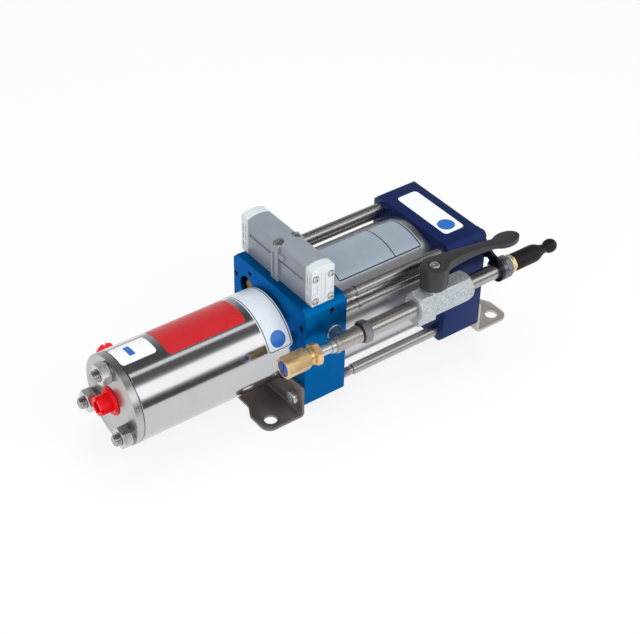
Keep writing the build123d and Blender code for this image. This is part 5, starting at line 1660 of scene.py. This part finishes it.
@dataclass
class Films(SubAssembly):
    """The bare plates and films, with their borders and coloured fields but no words or signs."""

    thick: float = 0.12
    strip: float = 1.0
    ink: str = "#17181a"
    plate_ink: str = "#1b1c1e"
    disc_blue: str = "#1f63b4"

    def build(self) -> None:
        """Lays each film on its body."""
        for film in self.barrel_films():
            self.lay(film, radius_of("barrel_jacket"))
        self.lay(self.rating_plate(), radius_of("drive_tube"))
        self.lay(self.cap_film(), 0)

    def barrel_films(self) -> list[Film]:
        """Gives the films of the barrel, from its head to the block."""
        x = BLOCK_FRONT
        field_mark = Mark("#2f62b5", (-2.5, 0.5), (2.6, 6.0), 0.8)
        flow = PrintedFilm("flow_film", "#eceff2", "#e4e8ec", size_mm=(31, 23.5), marks=(field_mark,))
        notice = PrintedFilm("notice_film", "#bf1a22", "#b6171f", size_mm=(70, 39))
        marks = (Mark(self.ink, (0, 0), (11.1, 38.1), 3.0, 0.8), Mark(self.disc_blue, (0, -29.0), (7, 7), 7))
        band = PrintedFilm("band_film", "#d6dde4", "#cdd5dd", size_mm=(24, 78), marks=marks)
        return [
            Film("flow_plate", x - 141, x - 110, -14, 9.5, 3, flow),
            Film("notice_plate", x - 104, x - 32.5, -22, 16.5, 4, notice),
            Film("band_plate", x - 26.5, x - 2.5, -28.6, 49.4, 4, band),
        ]

    def rating_plate(self) -> Film:
        """Gives the silver plate of the drive tube, with its border and its dividing line."""
        x, size = BLOCK_FRONT, (87.5, 45.0)
        half, high = size[0] / 2 - 1.2, size[1] / 2 - 1.2
        marks = (
            Mark(self.plate_ink, (0, 0), (half, high), 1.5, 1.1),
            Mark(self.plate_ink, (15.5, 0), (0.5, high)),
        )
        plate = PrintedFilm(
            "rating_film", "#a9b6c4", "#9fadbb", roughness=0.32, metallic=0.35, size_mm=size, marks=marks
        )
        return Film("rating_plate", x + 51, x + 138.5, -18.5, 26.5, 0.8, plate)

    def cap_film(self) -> Film:
        """Gives the white film on top of the cap, with one plain coloured disc."""
        x = BLOCK_FRONT
        disc = Mark(self.disc_blue, (-0.7, -21.3), (7.5, 7.5), 7.5)
        film = PrintedFilm("cap_film", "#eef1f4", "#e6eaee", size_mm=(20.5, 64.5), marks=(disc,))
        return Film("cap_plate", x + 155.7, x + 176.7, -32.2, 32.3, 3.5, film)

    def lay(self, film: Film, radius: float) -> None:
        """Cuts a film, bends it round its body and gives it its print.

        Args:
            film: The film.
            radius: The body's radius, or 0 for the cap's flat top.
        """
        ends = ((film.start, film.low), (film.end, film.low), (film.end, film.high), (film.start, film.high))
        corners = [(*corner, film.corner) for corner in ends]
        piece = extruded(film.name, rounded(corners, 6), Along.Z, 0.0, self.thick)
        length, height = film.end - film.start, film.high - film.low
        if radius:
            for index in range(1, int(height / self.strip)):
                enter_edit(piece)
                place = (0, (film.low + index * self.strip) * MM, 0)
                bpy.ops.mesh.bisect(plane_co=place, plane_no=(0, 1, 0))
            clear_selection()
        sheet = piece.data.uv_layers.active or piece.data.uv_layers.new(name="sheet")
        for loop in piece.data.loops:
            spot = piece.data.vertices[loop.vertex_index].co / MM
            share = ((spot.x - film.start) / length, (spot.y - film.low) / height)
            sheet.data[loop.index].uv = (share[0], 1 - share[1]) if radius else share
        for vertex in piece.data.vertices:
            x, across, rise = vertex.co / MM
            place = (x, across, BODY_TOP + rise)
            if radius:
                angle, out = across / radius, radius + rise
                place = (x, -out * math.sin(angle), AXIS_Z + out * math.cos(angle))
            vertex.co = Vector(place) * MM
        close_up(piece)
        self.dress(piece, film.finish, "white_polymer", smooth=40)


@dataclass
class Studio:
    """The camera, the floor, the light tent, the lamps and the world.

    A tent panel is its angle in degrees and its strength. The floor and the lamps are in metres.
    """

    azimuth: float = -37.370
    elevation: float = 38.446
    distance: float = 1306.0
    target: Triple = (-41.0, 0.0, 47.09)
    roll: float = 1.241
    lens: float = 88.41
    shade: float = 0.55
    floor_size: float = 8.0
    floor_drop: float = 0.0002
    floor_grey: float = 0.86
    floor_glow: float = 0.82
    tent_radius: float = 700.0
    tent_length: float = 6000.0
    tent_panels: tuple[Point, ...] = (
        (-112, 1.0), (-86, 0.6), (-62, 0.5), (-38, 0.25), (-14, 0.11), (7, 0.1), (9, 1.2), (14, 1.2),
        (17, 0.12), (31, 0.15), (37, 0.4), (41, 1.6), (65, 1.6), (71, 0.35), (77, 0.08), (92, 0.1),
    )
    lamp_aim: Triple = (-0.03, 0.0, 0.06)
    lamp_list: tuple[tuple[str, Triple, float, float], ...] = (
        ("key_lamp", (0.1, -1.1, 0.9), 0.9, 9.0),
        ("fill_lamp", (-1.3, -0.4, 0.8), 0.9, 5.0),
        ("top_lamp", (0.0, 0.2, 1.5), 1.2, 9.0),
    )

    def build(self) -> None:
        """Sets up the view and its light."""
        self.camera()
        self.world()
        self.floor()
        self.tent()
        self.lamps()
        bpy.context.scene.view_settings.view_transform = "Standard"

    def camera(self) -> None:
        """Places the camera at the photograph's angle."""
        az, el, roll = (math.radians(v) for v in (self.azimuth, self.elevation, self.roll))
        back = Vector((math.sin(az) * math.cos(el), -math.cos(az) * math.cos(el), math.sin(el)))
        right = (-back).cross(Vector((0, 0, 1))).normalized()
        up = back.cross(right)
        rolled_right = math.cos(roll) * right + math.sin(roll) * up
        rolled_up = -math.sin(roll) * right + math.cos(roll) * up
        data = bpy.data.cameras.new("camera")
        data.lens, data.clip_start, data.clip_end = self.lens, 0.05, 20
        camera = bpy.data.objects.new("camera", data)
        bpy.context.scene.collection.objects.link(camera)
        place = Matrix.Translation(Vector(self.target) * MM + back * self.distance * MM)
        camera.matrix_world = place @ Matrix((rolled_right, rolled_up, back)).transposed().to_4x4()
        bpy.context.scene.camera = camera

    def shown(self, tree: Tree) -> Node:
        """Gives 1 for a ray that shows the background: to the camera, or by reflection or glass."""
        path = add_node(tree, "LightPath")
        value = path.outputs["Is Camera Ray"]
        for other in ("Is Glossy Ray", "Is Transmission Ray"):
            value = add_node(tree, "Math", {"operation": "MAXIMUM"}, {}, {0: value, 1: path.outputs[other]})
        return value

    def world(self) -> None:
        """Makes a white world for the camera and for reflections, and a softer one for light."""
        world = bpy.data.worlds.new("studio")
        world.use_nodes = True
        tree = world.node_tree
        levels = {"To Min": self.shade, "To Max": 1.0}
        strength = add_node(tree, "MapRange", {}, levels, {"Value": self.shown(tree)})
        sky = tree.nodes["Background"]
        sky.inputs["Color"].default_value = (1, 1, 1, 1)
        tree.links.new(strength.outputs["Result"], sky.inputs["Strength"])
        bpy.context.scene.world = world

    def floor(self) -> None:
        """Lays the pale floor, which the camera sees nearly white but for the shadow."""
        clear_selection()
        bpy.ops.mesh.primitive_plane_add(size=self.floor_size, location=(0, 0, -self.floor_drop))
        floor = bpy.context.active_object
        floor.name = "floor"
        material, tree, shader = new_material("floor_paint")
        shader.inputs["Base Color"].default_value = (*(self.floor_grey,) * 3, 1)
        shader.inputs["Roughness"].default_value = 0.9
        glow = add_node(tree, "Emission", {}, {"Color": (1, 1, 1, 1), "Strength": 1.0})
        share = add_node(tree, "Math", {"operation": "MULTIPLY"}, {1: self.floor_glow}, {0: self.shown(tree)})
        mix = add_node(tree, "MixShader", links={0: share, 1: shader, 2: glow})
        tree.links.new(mix.outputs["Shader"], tree.nodes["Material Output"].inputs["Surface"])
        floor.data.materials.append(material)

    def tent(self) -> None:
        """Puts up a long light tent of grey and white panels, which only reflections see.

        A panel's angle goes round the pump, from straight up towards the near side.
        """
        clear_selection()
        bpy.ops.mesh.primitive_cylinder_add(
            vertices=96,
            radius=self.tent_radius * MM,
            depth=self.tent_length * MM,
            end_fill_type="NOTHING",
            rotation=(0, math.radians(90), 0),
        )
        bpy.ops.object.transform_apply(location=True, rotation=True, scale=True)
        tent = bpy.context.active_object
        tent.name = "light_tent"
        for ray in ("camera", "diffuse", "shadow", "transmission", "volume_scatter"):
            setattr(tent, f"visible_{ray}", False)
        material, tree, _ = new_material("tent_panels")
        material.cycles.emission_sampling = "NONE"
        place = add_node(tree, "TexCoord").outputs["Object"]
        axes = add_node(tree, "SeparateXYZ", {}, {}, {"Vector": place})
        near = add_node(tree, "Math", {"operation": "MULTIPLY"}, {1: -1.0}, {0: axes.outputs["Y"]})
        angle = add_node(tree, "Math", {"operation": "ARCTAN2"}, {}, {0: near, 1: axes.outputs["Z"]})
        turn = {"From Min": -math.pi, "From Max": math.pi}
        share = add_node(tree, "MapRange", {}, turn, {"Value": angle})
        panels = add_node(tree, "ValToRGB", {}, {}, {"Fac": share})
        brightest = max(strength for _, strength in self.tent_panels)
        stops = panels.color_ramp.elements
        for index, (degrees, strength) in enumerate(self.tent_panels):
            spot = degrees / 360 + 0.5
            stop = stops[index] if index < 2 else stops.new(spot)
            stop.position = spot
            stop.color = (*(strength / brightest,) * 3, 1)
        glow = add_node(tree, "Emission", {}, {"Strength": brightest}, {"Color": panels})
        tree.links.new(glow.outputs["Emission"], tree.nodes["Material Output"].inputs["Surface"])
        tent.data.materials.append(material)

    def lamps(self) -> None:
        """Hangs the soft lamps, which light the colours and leave reflections to the tent."""
        for name, place, size, power in self.lamp_list:
            data = bpy.data.lights.new(name, "AREA")
            data.energy, data.size = power, size
            lamp = bpy.data.objects.new(name, data)
            lamp.visible_glossy = False
            bpy.context.scene.collection.objects.link(lamp)
            aim = (Vector(self.lamp_aim) - Vector(place)).to_track_quat("-Z", "Y")
            lamp.matrix_world = Matrix.Translation(place) @ aim.to_matrix().to_4x4()


def dress_cad_nodes() -> None:
    """Gives every CAD node the finish of its slot, and the deep airway plugs blackened steel as painted shade
    in their holes.
    """
    for part in frame["record"]["subparts"]:
        node = frame["nodes"][part["node"]]
        # Painted shade: blackened steel on the airway plugs stands for the shade deep in their drilled
        # mouths.
        finish = BLACKENED if part["node"] == "airway_plugs" else SLOT_FINISH[part["material_slot"]]
        node.data.materials.clear()
        node.data.materials.append(finish.material())


def shorten_springs() -> None:
    """Gives each check spring a mesh of its own."""
    for node, joint, along in (
        ("outlet_spring", "outlet_check_lift", Along.X),
        ("inlet_spring", "inlet_check_lift", Along.Y),
        ("relief_spring", "relief_lift", Along.X),
    ):
        low, high = span(node, along)
        anchor = [middle(node, axis) * MM for axis in Along]
        anchor[along.value] = low * MM
        keep = 1 - DISC_LIFT / (high - low)
        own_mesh(frame["nodes"][node], joint, axis=tuple(along.vector), anchor=tuple(anchor), keep=keep)


def main() -> None:
    """Builds the sub-assemblies in order and reports their pieces."""
    logging.basicConfig(level=logging.INFO, format="%(name)s: %(message)s")
    clear_selection()
    dress_cad_nodes()
    shorten_springs()
    for kind in (Housing, DriveSection, GasBarrel, SpoolValve, Feet, AirLine, Handle, Films):
        assembly = kind()
        assembly.build()
        for piece in assembly.pieces:
            log.info("%s: %s, %d faces", kind.__name__, piece.name, len(piece.data.polygons))
    Studio().build()


if __name__ == "__main__":
    main()
